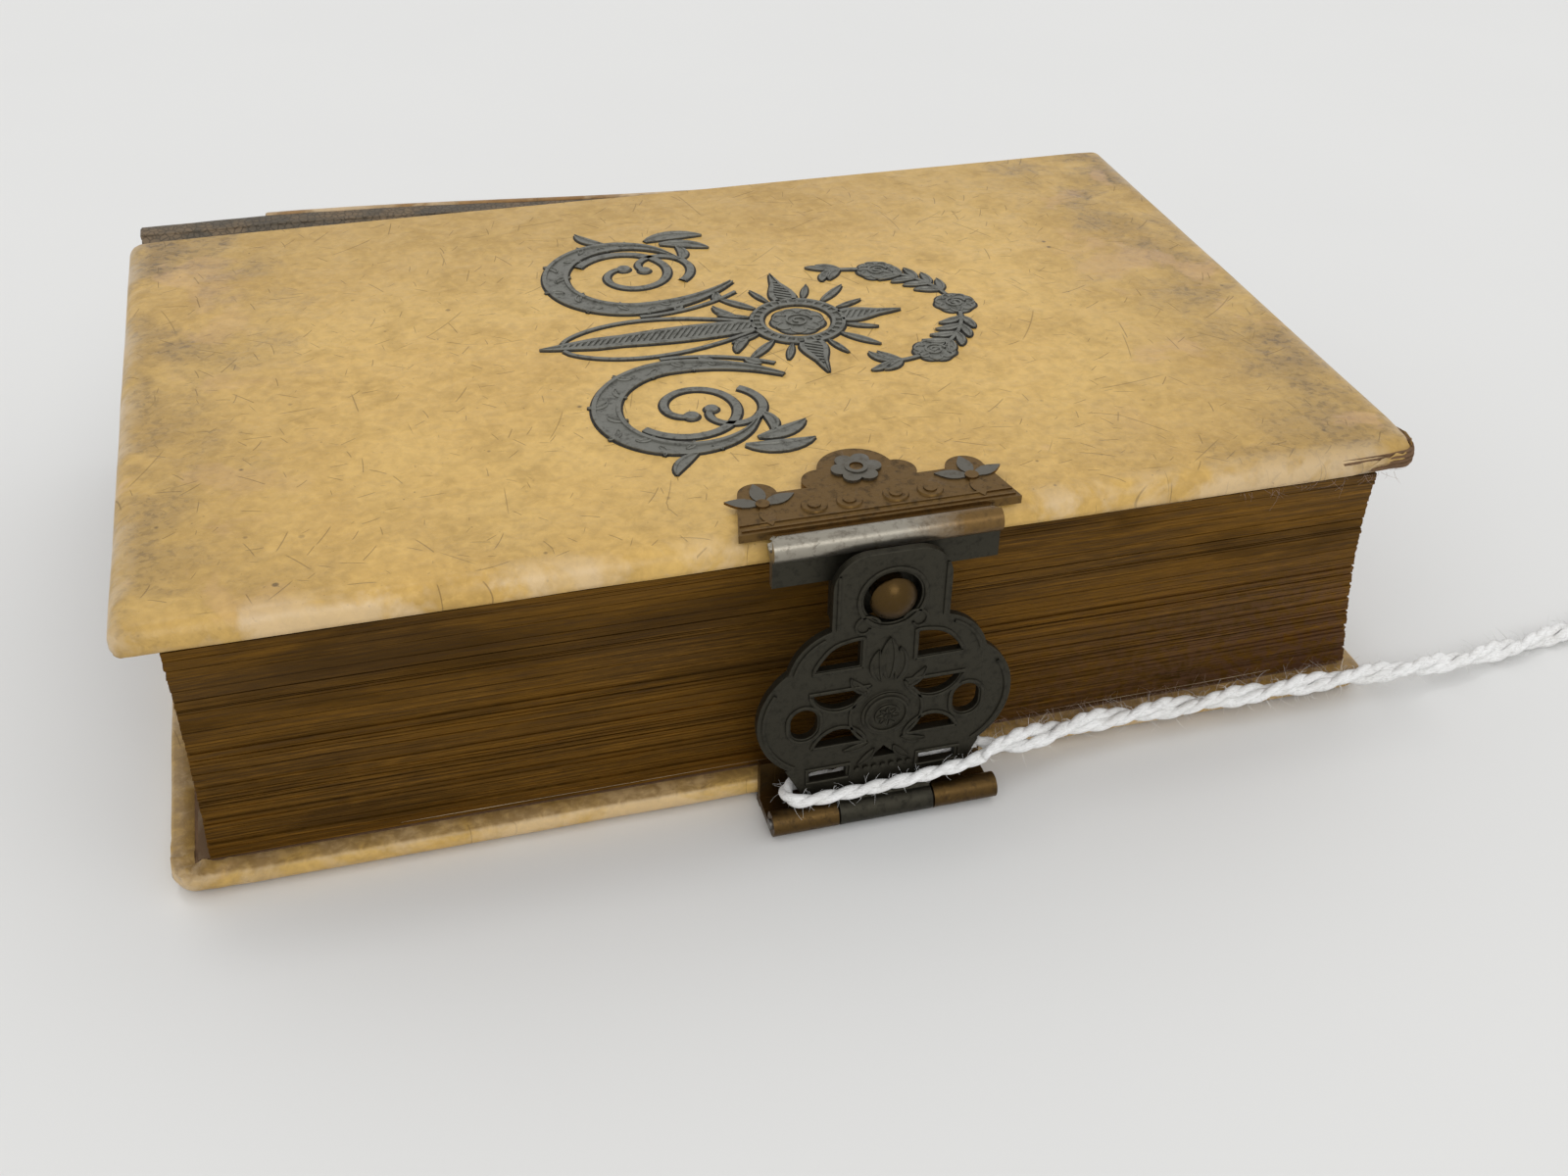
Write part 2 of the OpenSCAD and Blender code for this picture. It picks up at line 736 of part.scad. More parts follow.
// Two mirrored volutes beside the shaft, each of three shrinking arcs, a stalk and a spray of leaves
module cover_scrolls() {
    side_y = scroll_r + bar_w * 2.4;
    hub_x = foot_x - cross_x + scroll_r * 1.45;
    stalk_r = scroll_r * 1.9;
    on_cover() for (s = [0, 1]) mirror([0, s, 0]) {
        scroll_band([hub_x, side_y, 0], scroll_r, 60, 270, scroll_w);
        scroll_band([hub_x + scroll_r * 0.2, side_y + scroll_r * 0.35, 0], scroll_r * 0.6, -100, 60,
            scroll_w * 0.7);
        scroll_band([hub_x + scroll_r * 0.15, side_y + scroll_r * 0.1, 0], scroll_r * 0.34, 60, 280,
            scroll_w * 0.6);
        scroll_band([hub_x, side_y + stalk_r - scroll_r, 0], stalk_r, 272, 312, scroll_w * 0.8);
        translate([hub_x + scroll_r / 2, side_y + scroll_r * 0.87, 0]) for (a = [-40, 0, 40]) rotate([0, 0, a])
            linear_extrude(ornament_t) almond(leaf_long);
    }
}

// Five petals as one wavy outline round a raised heart
module rose() {
    steps = 40;
    linear_extrude(ornament_t) polygon([for (i = [0:steps - 1]) let (a = 360 * i / steps)
        rose_r * (0.84 + 0.16 * cos(5 * a)) * [cos(a), sin(a)]]);
    cylinder(r = rose_r * 0.32, h = ornament_t * 1.8);
}

// Garland of three roses round the head of the cross
module cover_garland() {
    spread = 92;
    stalk_w = 0.7;
    hub = cross_span / 2 - garland_r * 0.45;
    on_cover() translate([hub, 0, 0]) {
        rotate([0, 0, -spread]) rotate_extrude(angle = 2 * spread)
            translate([garland_r - stalk_w / 2, 0]) square([stalk_w, ornament_t]);
        for (a = [-62, 0, 62]) rotate([0, 0, a]) translate([garland_r, 0, 0]) rose();
        for (a = [6 - spread, -38, -22, 22, 38, spread - 6]) rotate([0, 0, a]) translate([garland_r, 0, 0])
            linear_extrude(ornament_t) for (t = [35, 145]) rotate(sign(a) * t) almond(leaf_long);
    }
}

// ---- string ----

module string_loop() {
    color("white") placed() tube(loop_route, strand_d);
}

module string_run() {
    color("white") placed() tube(run_route, string_d);
}

module string_knot() {
    end = run_route[len(run_route) - 1];
    color("white") placed() translate([end[0] + string_d * 0.8, end[1], string_d * 0.8])
        sphere(d = string_d * 1.6, $fn = 24);
}

back_board();
back_plate();
back_pastedown();
back_leather();
hinge_plate();
hinge_pin();
hinge_rivets();
string_run();
string_knot();
hasp();
string_loop();
back_flyleaf();
sewing_tapes();
spine_lining();
head_band();
tail_band();
spine_card();
spine_leather();
spine_plate();
front_board();
front_plate();
front_pastedown();
front_leather();
cover_cross();
cover_scrolls();
cover_garland();
catch_plate();
catch_stud();
catch_rivets();
front_flyleaf();
for (i = [1:gathering_count]) gathering(i);
for (i = [1:lift_count]) leaf_group(i);
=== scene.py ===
"""Small clasped prayer book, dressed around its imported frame."""

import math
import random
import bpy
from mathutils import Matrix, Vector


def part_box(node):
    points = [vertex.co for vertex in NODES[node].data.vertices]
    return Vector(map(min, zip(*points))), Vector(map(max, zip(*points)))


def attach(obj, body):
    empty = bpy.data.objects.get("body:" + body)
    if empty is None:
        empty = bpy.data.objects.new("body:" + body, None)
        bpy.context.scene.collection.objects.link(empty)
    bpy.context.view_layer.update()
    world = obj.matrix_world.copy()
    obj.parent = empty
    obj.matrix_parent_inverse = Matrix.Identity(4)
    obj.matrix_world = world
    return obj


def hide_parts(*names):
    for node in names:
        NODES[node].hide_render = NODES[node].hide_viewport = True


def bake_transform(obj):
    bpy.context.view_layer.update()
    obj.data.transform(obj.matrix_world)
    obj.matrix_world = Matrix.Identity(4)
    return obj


bl_info = {
    "name": "Clasped Prayer Book",
    "version": (1, 0, 0),
    "blender": (4, 5, 0),
    "location": "View3D > Sidebar > Prayer Book",
    "description": "Builds the covers, leaves, clasp, ornament and string of an old prayer book",
    "category": "Add Mesh",
}

from functools import partialmethod

import bmesh
import bpy
from bpy.props import FloatProperty, FloatVectorProperty, IntProperty, PointerProperty
from mathutils import Vector, noise

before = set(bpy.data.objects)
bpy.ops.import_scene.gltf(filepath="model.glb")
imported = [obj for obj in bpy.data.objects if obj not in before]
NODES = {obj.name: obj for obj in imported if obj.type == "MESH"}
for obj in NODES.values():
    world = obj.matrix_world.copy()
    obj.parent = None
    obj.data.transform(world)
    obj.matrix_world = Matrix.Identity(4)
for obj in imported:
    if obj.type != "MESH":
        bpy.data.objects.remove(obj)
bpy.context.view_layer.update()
MM = 0.001

PLATE_LOW, PLATE_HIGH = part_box("front_plate")
BOOK_TOP = PLATE_HIGH.z
FORE_Y = PLATE_LOW.y
JOINT_Y = PLATE_HIGH.y
HALF_LEN = PLATE_HIGH.x
CATCH_LOW, CATCH_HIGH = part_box("catch_plate")
CLASP_X = (CATCH_LOW.x + CATCH_HIGH.x) / 2
HASP_FACE = FORE_Y - 3.6 * MM
ROLL_Y = FORE_Y - 1.25 * MM
ROLL_Z = BOOK_TOP - 0.25 * MM
CATCH_TOP = BOOK_TOP + 0.75 * MM
RIGHT, BACK, UP = Vector((1, 0, 0)), Vector((0, 1, 0)), Vector((0, 0, 1))

GATHERINGS, LEAF_GROUPS = 16, 3
SHORT_LEAF, SHORT_CHANCE = 0.14 * MM, 0.14  # how far some leaves stand back, and how many do
LEAF_SKEW, LEAF_LEAN = 0.02, 1.4 * MM  # how the head end of the leaves slants and leans
GLOSS = 0.34  # roughness of clean celluloid
BEVEL_ANGLE = 32
WEAR_REACH = 7 * MM  # how far wear reaches from a corner
# The plate's turned-in rim: inset and height in millimetres, and its value in the edge attribute
TURN_IN = (
    (0.0, 0.5, 0.0), (0.05, 0.1, -0.1), (0.35, -0.09, -0.4), (1.1, -0.11, -1.1), (2.0, -0.08, -2.0), (2.1, 0.0, -2.1)
)
# Where the spine starts to sink, over what length, how deep
SINK_FROM, SINK_OVER, SINK_DEPTH = -45 * MM, 62 * MM, 2.4 * MM
BAND_CUTS, JOINT_STEPS, JOINT_THICKNESS = 56, 80, 0.32 * MM
RING_RADIUS, GARLAND_X, GARLAND_RADIUS = 4.1, 6.41, 10.2  # ornament, in millimetres from its centre
ROLL_REACH, LIP_TOP = 1.25 * MM, ROLL_Z - 0.8 * MM
SPRAY_X, CREST_Y = 6.3 * MM, 5 * MM  # the catch plate's silvery relief lies beyond these
BOSS_X, BOSS_Y, BOSS_STEPS = (-5.1, -2.04, 2.04, 5.1), 2.8, ((1.16, 0.17), (0.62, 0.28))
PATH_STEP, DRAWN_OUT, COIL_PITCH = 0.3 * MM, 0.35 * MM, 15 * MM
CAMERA_PLACE, CAMERA_TURN, CAMERA_LENS = (-36.0, -146.6, 107.8), (53.94, -0.915, -15.67), 39.42
SKY_STRENGTH = 0.86
# Place in mm, size in m, watts
LAMPS = (("Window", (-300, 600, 2300), 0.5, 4.0), ("Front", (100, -1700, 1400), 1.2, 9.0))


def mm(*values):
    return Vector(values) * MM


def dim(value, k):
    """A colour made darker, or lighter where k is above 1."""
    return tuple(min(1, c * k) for c in value)


# ---------------------------------------------------------------- settings


def colour(name, text, value):
    return FloatVectorProperty(name=name, description=text, subtype="COLOR", size=3, min=0, max=1, default=value)


def length(name, text, value):
    return FloatProperty(
        name=name, description=text, default=value * MM, unit="LENGTH", subtype="DISTANCE", precision=5
    )


class CoverSettings(bpy.types.PropertyGroup):
    ivory: colour("Ivory", "Body colour of the celluloid", (0.655, 0.425, 0.125))
    honey: colour("Honey", "Yellowed parts of the celluloid", (0.55, 0.335, 0.084))
    stain: colour("Stain", "Greyish brown stains near the edges", (0.205, 0.125, 0.042))
    blush: colour("Blush", "Worn pinkish places", (0.60, 0.37, 0.21))
    pulp: colour("Board", "Bare board at the worn corner", (0.13, 0.072, 0.034))
    edge_round: length("Edge rounding", "Radius of the turned-down edge", 1.7)
    corner_round: length("Corner rounding", "Radius of the fore corners in plan", 2.0)
    plate_thickness: length("Plate thickness", "Thickness of the celluloid", 0.85)


class LeafSettings(bpy.types.PropertyGroup):
    gilt: colour("Gilt", "Worn gilding on the leaves' edges", (0.155, 0.074, 0.0105))
    gap: colour("Shade", "Dark lines between the leaves", (0.026, 0.0115, 0.0024))
    dust: colour("Dust", "Reddish dust low at the head", (0.135, 0.068, 0.042))
    paper: colour("Paper", "Yellowed paper inside", (0.66, 0.54, 0.36))
    slabs: IntProperty(
        name="Leaves per gathering", description="Thin slabs that stand for one gathering's leaves", default=6, min=2,
        max=8
    )
    ragged: length("Ragged edge", "How far single leaves stand out", 0.07)


class MetalSettings(bpy.types.PropertyGroup):
    hasp: colour("Hasp", "Dark grey-brown metal of the hasp", (0.0403, 0.0367, 0.0259))
    catch: colour("Catch", "Brown-gold metal of the catch plate", (0.150, 0.086, 0.026))
    silver: colour("Bared metal", "Silvery places on the catch plate", (0.133, 0.123, 0.101))
    stud: colour("Stud", "Brass of the stud", (0.0651, 0.0372, 0.00992))
    ornament: colour("Ornament", "Grey metal of the cover's ornament", (0.185, 0.183, 0.160))
    # The outline colour is partly dark adhesive and partly painted shadow of the groove round the ornament
    outline: colour("Outline", "Dark line around the ornament", (0.02, 0.017, 0.013))


class StringSettings(bpy.types.PropertyGroup):
    cotton: colour("Cotton", "Colour of the twine", (0.93, 0.93, 0.92))
    strand: length("Strand", "Diameter of one strand", 1.3)
    doubled: length("Doubled", "Diameter of the two strands laid together", 2.1)
    twist: length("Twist", "Length of one full twist of a strand's plies", 4.8)
    fibres: IntProperty(
        name="Fibres", description="Loose fibres that stand off the string", default=640, min=0, max=2000
    )


class PrayerBookSettings(bpy.types.PropertyGroup):
    cover: PointerProperty(type=CoverSettings)
    leaves: PointerProperty(type=LeafSettings)
    metal: PointerProperty(type=MetalSettings)
    string: PointerProperty(type=StringSettings)
    table: colour("Table", "Pale table", (0.76, 0.76, 0.75))


# ---------------------------------------------------------------- nodes


class Graph:
    """Small helper that adds and links nodes of one tree."""

    def __init__(self, tree):
        self.tree = tree

    def add(self, kind, sockets=None, **settings):
        made = self.tree.nodes.new("ShaderNode" + kind)
        for name, value in settings.items():
            setattr(made, name, value)
        for name, value in (sockets or {}).items():
            socket = made.inputs[name]
            if isinstance(value, bpy.types.NodeSocket):
                self.tree.links.new(value, socket)
            else:
                socket.default_value = (*value, 1) if hasattr(
                    value, "__len__"
                ) and socket.type == "RGBA" and len(value) == 3 else value
        return made

    def layer(self, base, colour, mask, strength):
        """A colour laid over the base where the mask says so."""
        return self.mix(self.times(mask, strength), base, colour)

    def math(self, operation, a, b=0.0, clamp=False):
        return self.add("Math", {0: a, 1: b}, operation=operation, use_clamp=clamp).outputs[0]

    plus = partialmethod(math, "ADD")
    minus = partialmethod(math, "SUBTRACT")
    times = partialmethod(math, "MULTIPLY")
    ratio = partialmethod(math, "DIVIDE")
    larger = partialmethod(math, "MAXIMUM")
    absolute = partialmethod(math, "ABSOLUTE")

    def ramp(self, value, low, high, start=0.0, end=1.0):
        return self.add(
            "MapRange", {"Value": value, "From Min": low, "From Max": high, "To Min": start, "To Max": end},
            clamp=True
        ).outputs[0]

    def mix(self, factor, a, b):
        made = self.add("Mix", data_type="RGBA", clamp_factor=True)
        for index, value in ((0, factor), (6, a), (7, b)):
            if isinstance(value, bpy.types.NodeSocket):
                self.tree.links.new(value, made.inputs[index])
            else:
                made.inputs[index].default_value = (*value, 1) if index else value
        return made.outputs[2]

    def place(self, vector, scale=(1, 1, 1), turn=(0, 0, 0), shift=(0, 0, 0)):
        return self.add("Mapping", {"Vector": vector, "Scale": scale, "Rotation": turn, "Location": shift}).outputs[0]

    def noise(self, vector, scale, detail=3.0, rough=0.55, warp=0.0):
        return self.add(
            "TexNoise", {"Vector": vector, "Scale": scale, "Detail": detail, "Roughness": rough, "Distortion": warp}
        ).outputs[0]


class Effect(Graph):
    """A node group that takes a place in millimetres and some numbers, and gives out numbers."""

    def __init__(self, name, outputs, **inputs):
        super().__init__(bpy.data.node_groups.new(name, "ShaderNodeTree"))
        sockets = self.tree.interface
        sockets.new_socket("Vector", in_out="INPUT", socket_type="NodeSocketVector")
        for label, value in inputs.items():
            sockets.new_socket(label, in_out="INPUT", socket_type="NodeSocketFloat").default_value = value
        for label in outputs:
            sockets.new_socket(label, in_out="OUTPUT", socket_type="NodeSocketFloat")
        self.given = self.tree.nodes.new("NodeGroupInput").outputs
        self.out = self.tree.nodes.new("NodeGroupOutput").inputs

    def spread(self, size):
        """The place, scaled so that the pattern's features get the size that an input gives."""
        by = self.ratio(1.0, self.given[size])
        return self.add("VectorMath", {0: self.given["Vector"], "Scale": by}, operation="SCALE").outputs[0]

    def done(self, **values):
        for label, value in values.items():
            self.tree.links.new(value, self.out[label])
        return self.tree


def make_scratches():
    """Short scratches, each bent a little its own way."""
    g = Effect("Scratches", ("Mask",), Spacing=4.0, Width=0.12, Amount=0.5)
    given, near = g.given, g.spread("Spacing")
    cell = g.add("TexVoronoi", {"Vector": near, "Scale": 1.0}, voronoi_dimensions="2D")
    chance = g.add("SeparateColor", {0: cell.outputs["Color"]}).outputs
    local = g.add(
        "SeparateXYZ",
        {0: g.add("VectorMath", {0: near, 1: cell.outputs["Position"]}, operation="SUBTRACT").outputs[0]}
    ).outputs
    turn = g.times(chance[0], math.pi)
    cos, sin = g.math("COSINE", turn), g.math("SINE", turn)
    along = g.plus(g.times(local[0], cos), g.times(local[1], sin))
    across = g.minus(g.times(local[1], cos), g.times(local[0], sin))
    bend = g.times(g.times(along, along), g.times(g.minus(chance[1], 0.5), 0.4))
    off = g.absolute(g.plus(across, bend))
    wide = g.times(g.ratio(given["Width"], given["Spacing"]), g.plus(chance[2], 0.4))
    line = g.ramp(g.ratio(off, wide), 0.2, 0.6, 1.0, 0.0)
    reach = g.times(chance[2], 0.55)
    run = g.ramp(g.minus(g.absolute(along), reach), -0.12, 0.0, 1.0, 0.0)
    kept = g.math("LESS_THAN", chance[1], given["Amount"])
    return g.done(Mask=g.times(g.times(line, run), kept))


def make_specks():
    """Small round specks of uneven size."""
    g = Effect("Specks", ("Mask",), Spacing=1.6, Amount=0.5)
    cell = g.add("TexVoronoi", {"Vector": g.spread("Spacing"), "Scale": 1.0})
    chance = g.add("SeparateColor", {0: cell.outputs["Color"]}).outputs[0]
    size = g.times(g.minus(g.given["Amount"], chance), 0.34)
    edge = g.minus(size, cell.outputs["Distance"])
    return g.done(Mask=g.ramp(edge, 0.0, 0.07))


def make_blotches():
    """Soft cloudy blotches over a range of sizes."""
    g = Effect("Blotches", ("Mask",), Size=12.0, Contrast=1.0)
    cloud = g.noise(g.spread("Size"), 1.0, 5.0, 0.6, 0.4)
    centred = g.times(g.minus(cloud, 0.5), g.times(g.given["Contrast"], 3.0))
    return g.done(Mask=g.plus(centred, 0.5, clamp=True))


def make_tarnish():
    """Patchy tarnish of old metal: a mask for bare metal, one for dirt, and a height."""
    g = Effect("Tarnish", ("Bare", "Dirt", "Height"), Wear=0.5)
    given = g.given
    broad = g.noise(given["Vector"], 0.45, 4.0, 0.6, 0.3)
    fine = g.noise(given["Vector"], 2.6, 4.0, 0.65)
    bare = g.ramp(g.plus(g.times(broad, 0.7), g.times(fine, 0.4)), g.minus(0.85, g.times(given["Wear"], 0.5)), 0.95)
    dirt = g.ramp(g.noise(g.place(given["Vector"], shift=(31, 7, 3)), 1.3, 5.0, 0.7), 0.5, 0.68)
    return g.done(Bare=bare, Dirt=dirt, Height=g.plus(g.times(fine, 0.6), g.times(broad, 0.4)))


def make_leaf_lines():
    """Fine lines of stacked leaves across Z, wavy and broken."""
    g = Effect("Leaf Lines", ("Dark", "Light", "Height"))
    given = g.given
    wander = g.times(g.noise(g.place(given["Vector"], (0.03, 0.03, 0.05)), 1.0, 3.0), 1.6)
    wavy = g.add(
        "VectorMath", {0: given["Vector"], 1: g.add("CombineXYZ", {"Z": wander}).outputs[0]}, operation="ADD"
    ).outputs[0]
    fine = g.noise(g.place(wavy, (0.05, 0.05, 5.2)), 1.0, 4.0, 0.7)
    coarse = g.noise(g.place(wavy, (0.022, 0.022, 0.62), shift=(9, 4, 2)), 1.0, 3.0, 0.6)
    short = g.noise(g.place(wavy, (0.5, 0.5, 5.5), shift=(3, 8, 5)), 1.0, 3.0, 0.7)
    both = g.plus(g.times(fine, 0.65), g.times(short, 0.35))
    dark = g.larger(g.ramp(both, 0.50, 0.37), g.times(g.ramp(coarse, 0.46, 0.33), 0.4))
    return g.done(Dark=dark, Light=g.ramp(both, 0.50, 0.66), Height=both)


def make_grain():
    """Leather grain: small pebbles with creases."""
    g = Effect("Leather Grain", ("Crease", "Height"), Pebble=0.6)
    near = g.spread("Pebble")
    cell = g.add("TexVoronoi", {"Vector": near, "Scale": 1.0}, feature="DISTANCE_TO_EDGE")
    crease = g.ramp(cell.outputs["Distance"], 0.0, 0.12, 1.0, 0.0)
    return g.done(Crease=crease, Height=g.plus(g.times(crease, -0.7), g.noise(near, 2.0, 3.0)))


class Finish:
    """One material with object coordinates in millimetres and a Principled BSDF."""

    effects = {}

    def __init__(self, name, **fixed):
        self.material = bpy.data.materials.new(name)
        self.material.use_nodes = True
        tree = self.material.node_tree
        tree.nodes.clear()
        self.g = Graph(tree)
        self.shader = self.g.add("BsdfPrincipled", fixed)
        tree.links.new(self.shader.outputs[0], self.g.add("OutputMaterial").inputs[0])
        self.mm = self.g.place(self.g.add("TexCoord").outputs["Object"], (1000, 1000, 1000))

    def use(self, name, **inputs):
        made = self.g.add("Group", node_tree=Finish.effects[name])
        for label, value in {"Vector": self.mm, **inputs}.items():
            if isinstance(value, bpy.types.NodeSocket):
                self.g.tree.links.new(value, made.inputs[label])
            else:
                made.inputs[label].default_value = value
        return made.outputs

    def blotches(self, size, contrast, shift=(0, 0, 0), scale=(1, 1, 1)):
        """The blotches' mask, somewhere else in the pattern where shift says so."""
        place = self.g.place(self.mm, scale, shift=shift)
        return self.use("Blotches", Size=size, Contrast=contrast, Vector=place)["Mask"]

    def attribute(self, name):
        return self.g.add("Attribute", attribute_name=name, attribute_type="GEOMETRY").outputs["Fac"]

    def set(self, **links):
        for label, value in links.items():
            self.g.tree.links.new(value, self.shader.inputs[label.replace("_", " ")])

    def bump(self, height, distance, strength):
        return self.g.add("Bump", {"Height": height, "Distance": distance * MM, "Strength": strength}).outputs[0]


def celluloid(name, ivory, honey, stain, blush, edge_dark=1.0):
    """Yellowed, scratched celluloid, darker and stained towards the edges."""
    f = Finish(name, IOR=1.45)
    g = f.g
    dark = dim(stain, 0.45)
    broad = f.blotches(24.0, 0.9)
    middle = f.blotches(4.2, 1.0, (13, 5, 2))
    fine = f.blotches(1.1, 1.1)
    patch = f.blotches(8.0, 1.3, (50, 2, 8))
    base = g.mix(broad, ivory, honey)
    base = g.layer(base, dim(honey, 0.62), g.ramp(middle, 0.45, 1.0), 0.34)
    base = g.layer(base, dim(honey, 0.5), g.ramp(fine, 0.5, 1.0), 0.22)
    base = g.layer(base, dim(ivory, 1.2), g.ramp(fine, 0.45, 0.0), 0.30)
    edge = f.attribute("edge")
    reach = g.plus(edge, g.times(g.minus(middle, 0.5), 12.0))
    near_edge = g.ramp(reach, 0.0, 18.0, 1.0, 0.0)
    place = g.add("SeparateXYZ", {0: f.mm}).outputs
    outwards = g.ramp(g.absolute(g.plus(place[0], 4.0)), 32.0, 54.0)
    towards_back = g.larger(g.ramp(place[1], -25.0, 30.0, 0.2, 1.0), g.times(outwards, 0.75))
    soiled = g.times(g.times(near_edge, towards_back), g.ramp(patch, 0.1, 0.8))
    base = g.layer(base, dim(honey, 0.5), g.larger(outwards, g.ramp(place[1], 5.0, 32.0)), 0.30)
    base = g.layer(base, stain, soiled, 0.9 * edge_dark)
    crumbs = f.blotches(0.8, 1.8, (3, 77, 0))
    base = g.layer(base, dark, g.times(g.ramp(crumbs, 0.55, 1.0), soiled), 0.7)
    pink = g.ramp(f.blotches(10.0, 1.3, (81, 40, 0)), 0.78, 1.0)
    base = g.layer(base, blush, g.times(pink, outwards), 0.35)
    pale = f.use("Specks", Spacing=13.0, Amount=0.30, Vector=g.place(f.mm, shift=(5, 9, 0)))["Mask"]
    base = g.layer(base, (0.66, 0.42, 0.23), pale, 0.55)
    cluster = g.ramp(f.blotches(12.0, 1.4, (20, 61, 0)), 0.3, 0.9)
    for spacing, amount, strength in ((2.3, 0.45, 0.62), (1.0, 0.45, 0.5), (0.55, 0.5, 0.35)):
        specks = f.use(
            "Specks", Spacing=spacing, Amount=amount, Vector=g.place(f.mm, shift=(7 * spacing, 3, 0))
        )["Mask"]
        base = g.layer(base, dark, g.times(specks, g.plus(cluster, 0.25)), strength)
    lines = 0.0
    for spacing, width, amount, strength in ((7.0, 0.12, 0.5, 0.4), (3.4, 0.10, 0.5, 0.5), (1.8, 0.09, 0.45, 0.5)):
        mask = f.use(
            "Scratches", Spacing=spacing, Width=width, Amount=amount,
            Vector=g.place(f.mm, shift=(spacing, 2 * spacing, 0))
        )["Mask"]
        lines = g.larger(lines, g.times(mask, strength))
    base = g.mix(lines, base, dark)
    rubbed = g.times(g.ramp(edge, 2.6, 0.3), g.ramp(patch, 0.35, 0.8))
    base = g.layer(base, (0.74, 0.56, 0.34), rubbed, 0.55)
    under = g.ramp(edge, -0.4, 0.0, 1.0, 0.0)
    base = g.layer(base, dim(stain, 1.15), under, g.ramp(fine, 0.1, 0.8, 0.35, 0.8))
    rough = g.plus(g.ramp(middle, 0.1, 0.9, GLOSS - 0.04, GLOSS + 0.14), g.times(lines, 0.25))
    height = g.plus(g.times(fine, 0.3), g.plus(middle, g.times(lines, -0.6)))
    f.set(Base_Color=base, Roughness=rough, Normal=f.bump(height, 0.12, 0.5))
    return f.material


def gilt_edges(name, gilt, gap, dust):
    """Worn gilt edges of stacked leaves with dark lines, smudges and dust."""
    f = Finish(name)
    g = f.g
    lines = f.use("Leaf Lines")
    broad = f.blotches(26.0, 1.2, scale=(1, 1, 3.2))
    smudge = f.blotches(9.0, 1.2, (5, 2, 9), (0.3, 0.3, 1.7))
    base = g.mix(g.ramp(broad, 0.2, 0.9), gilt, dim(gilt, 0.6))
    base = g.layer(base, dim(gilt, 1.9), lines["Light"], 0.6)
    base = g.layer(base, dim(gilt, 0.35), g.ramp(smudge, 0.55, 1.0), 0.6)
    split = g.add("SeparateXYZ", {0: f.mm}).outputs
    band = g.times(g.ramp(g.absolute(g.minus(split[2], 19.5)), 1.0, 4.5, 1.0, 0.0), g.ramp(split[0], 2.0, -18.0))
    base = g.layer(base, dim(gilt, 0.4), band, g.ramp(smudge, 0.1, 0.7, 0.3, 0.8))
    head_low = g.times(g.ramp(split[0], 8.0, 50.0), g.ramp(split[2], 17.0, 2.0))
    speckled = g.times(head_low, g.ramp(f.blotches(0.9, 1.4), 0.15, 0.8))
    base = g.layer(base, dust, speckled, 0.9)
    base = g.layer(base, gap, lines["Dark"], 0.6)
    f.shader.inputs["Specular IOR Level"].default_value = 0.15
    shine = g.times(g.ramp(broad, 0.9, 0.3, 0.35, 0.75), g.ramp(lines["Dark"], 0.0, 1.0, 1.0, 0.2))
    f.set(
        Base_Color=base, Roughness=g.ramp(smudge, 0.0, 1.0, 0.42, 0.66), Metallic=shine,
        Normal=f.bump(lines["Height"], 0.14, 0.7)
    )
    return f.material


def old_metal(name, base_colour, bare_colour, dirt_colour, wear=0.4, rough=0.42, metallic=0.9, height=0.05):
    """Tarnished sheet metal with rubbed places and patches of dirt."""
    f = Finish(name, Metallic=metallic)
    g = f.g
    tarnish = f.use("Tarnish", Wear=wear)
    base = g.mix(tarnish["Bare"], base_colour, bare_colour)
    base = g.layer(base, dirt_colour, tarnish["Dirt"], 0.6)
    roughness = g.plus(g.ramp(tarnish["Height"], 0.3, 0.7, rough - 0.1, rough + 0.15), g.times(tarnish["Dirt"], 0.15))
    lines = f.use("Scratches", Spacing=1.6, Width=0.07, Amount=0.7)["Mask"]
    tall = g.plus(tarnish["Height"], g.times(lines, -0.5))
    f.set(Base_Color=base, Roughness=roughness, Normal=f.bump(tall, height, 0.6))
    return f.material


def old_leather(name, base_colour, worn_colour):
    """Dark leather with grain and rubbed brown patches."""
    f = Finish(name, Roughness=0.62)
    g = f.g
    grain = f.use("Leather Grain", Pebble=0.7)
    cloud = f.blotches(4.0, 1.2)
    base = g.mix(g.ramp(cloud, 0.3, 0.9), base_colour, worn_colour)
    base = g.layer(base, dim(base_colour, 0.4), grain["Crease"], 0.6)
    f.set(Base_Color=base, Roughness=g.ramp(cloud, 0.0, 1.0, 0.55, 0.8), Normal=f.bump(grain["Height"], 0.12, 0.8))
    return f.material


def paper_like(name, base_colour, spot_colour, size=0.5, rough=0.85, strength=0.5):
    """Paper, card or cloth: fine fibres and foxing."""
    f = Finish(name, Roughness=rough)
    g = f.g
    fibre = g.noise(g.place(f.mm, (1.0, 0.35, 1.0)), 1 / size, 5.0, 0.7)
    cloud = f.blotches(9.0, 1.0)
    fox = f.use("Specks", Spacing=3.2, Amount=0.4)["Mask"]
    base = g.mix(g.times(cloud, 0.5), base_colour, dim(base_colour, 0.8))
    base = g.layer(base, spot_colour, g.ramp(fibre, 0.4, 0.7), 0.35)
    base = g.layer(base, spot_colour, fox, 0.5)
    f.set(Base_Color=base, Normal=f.bump(fibre, 0.08, strength))
    return f.material


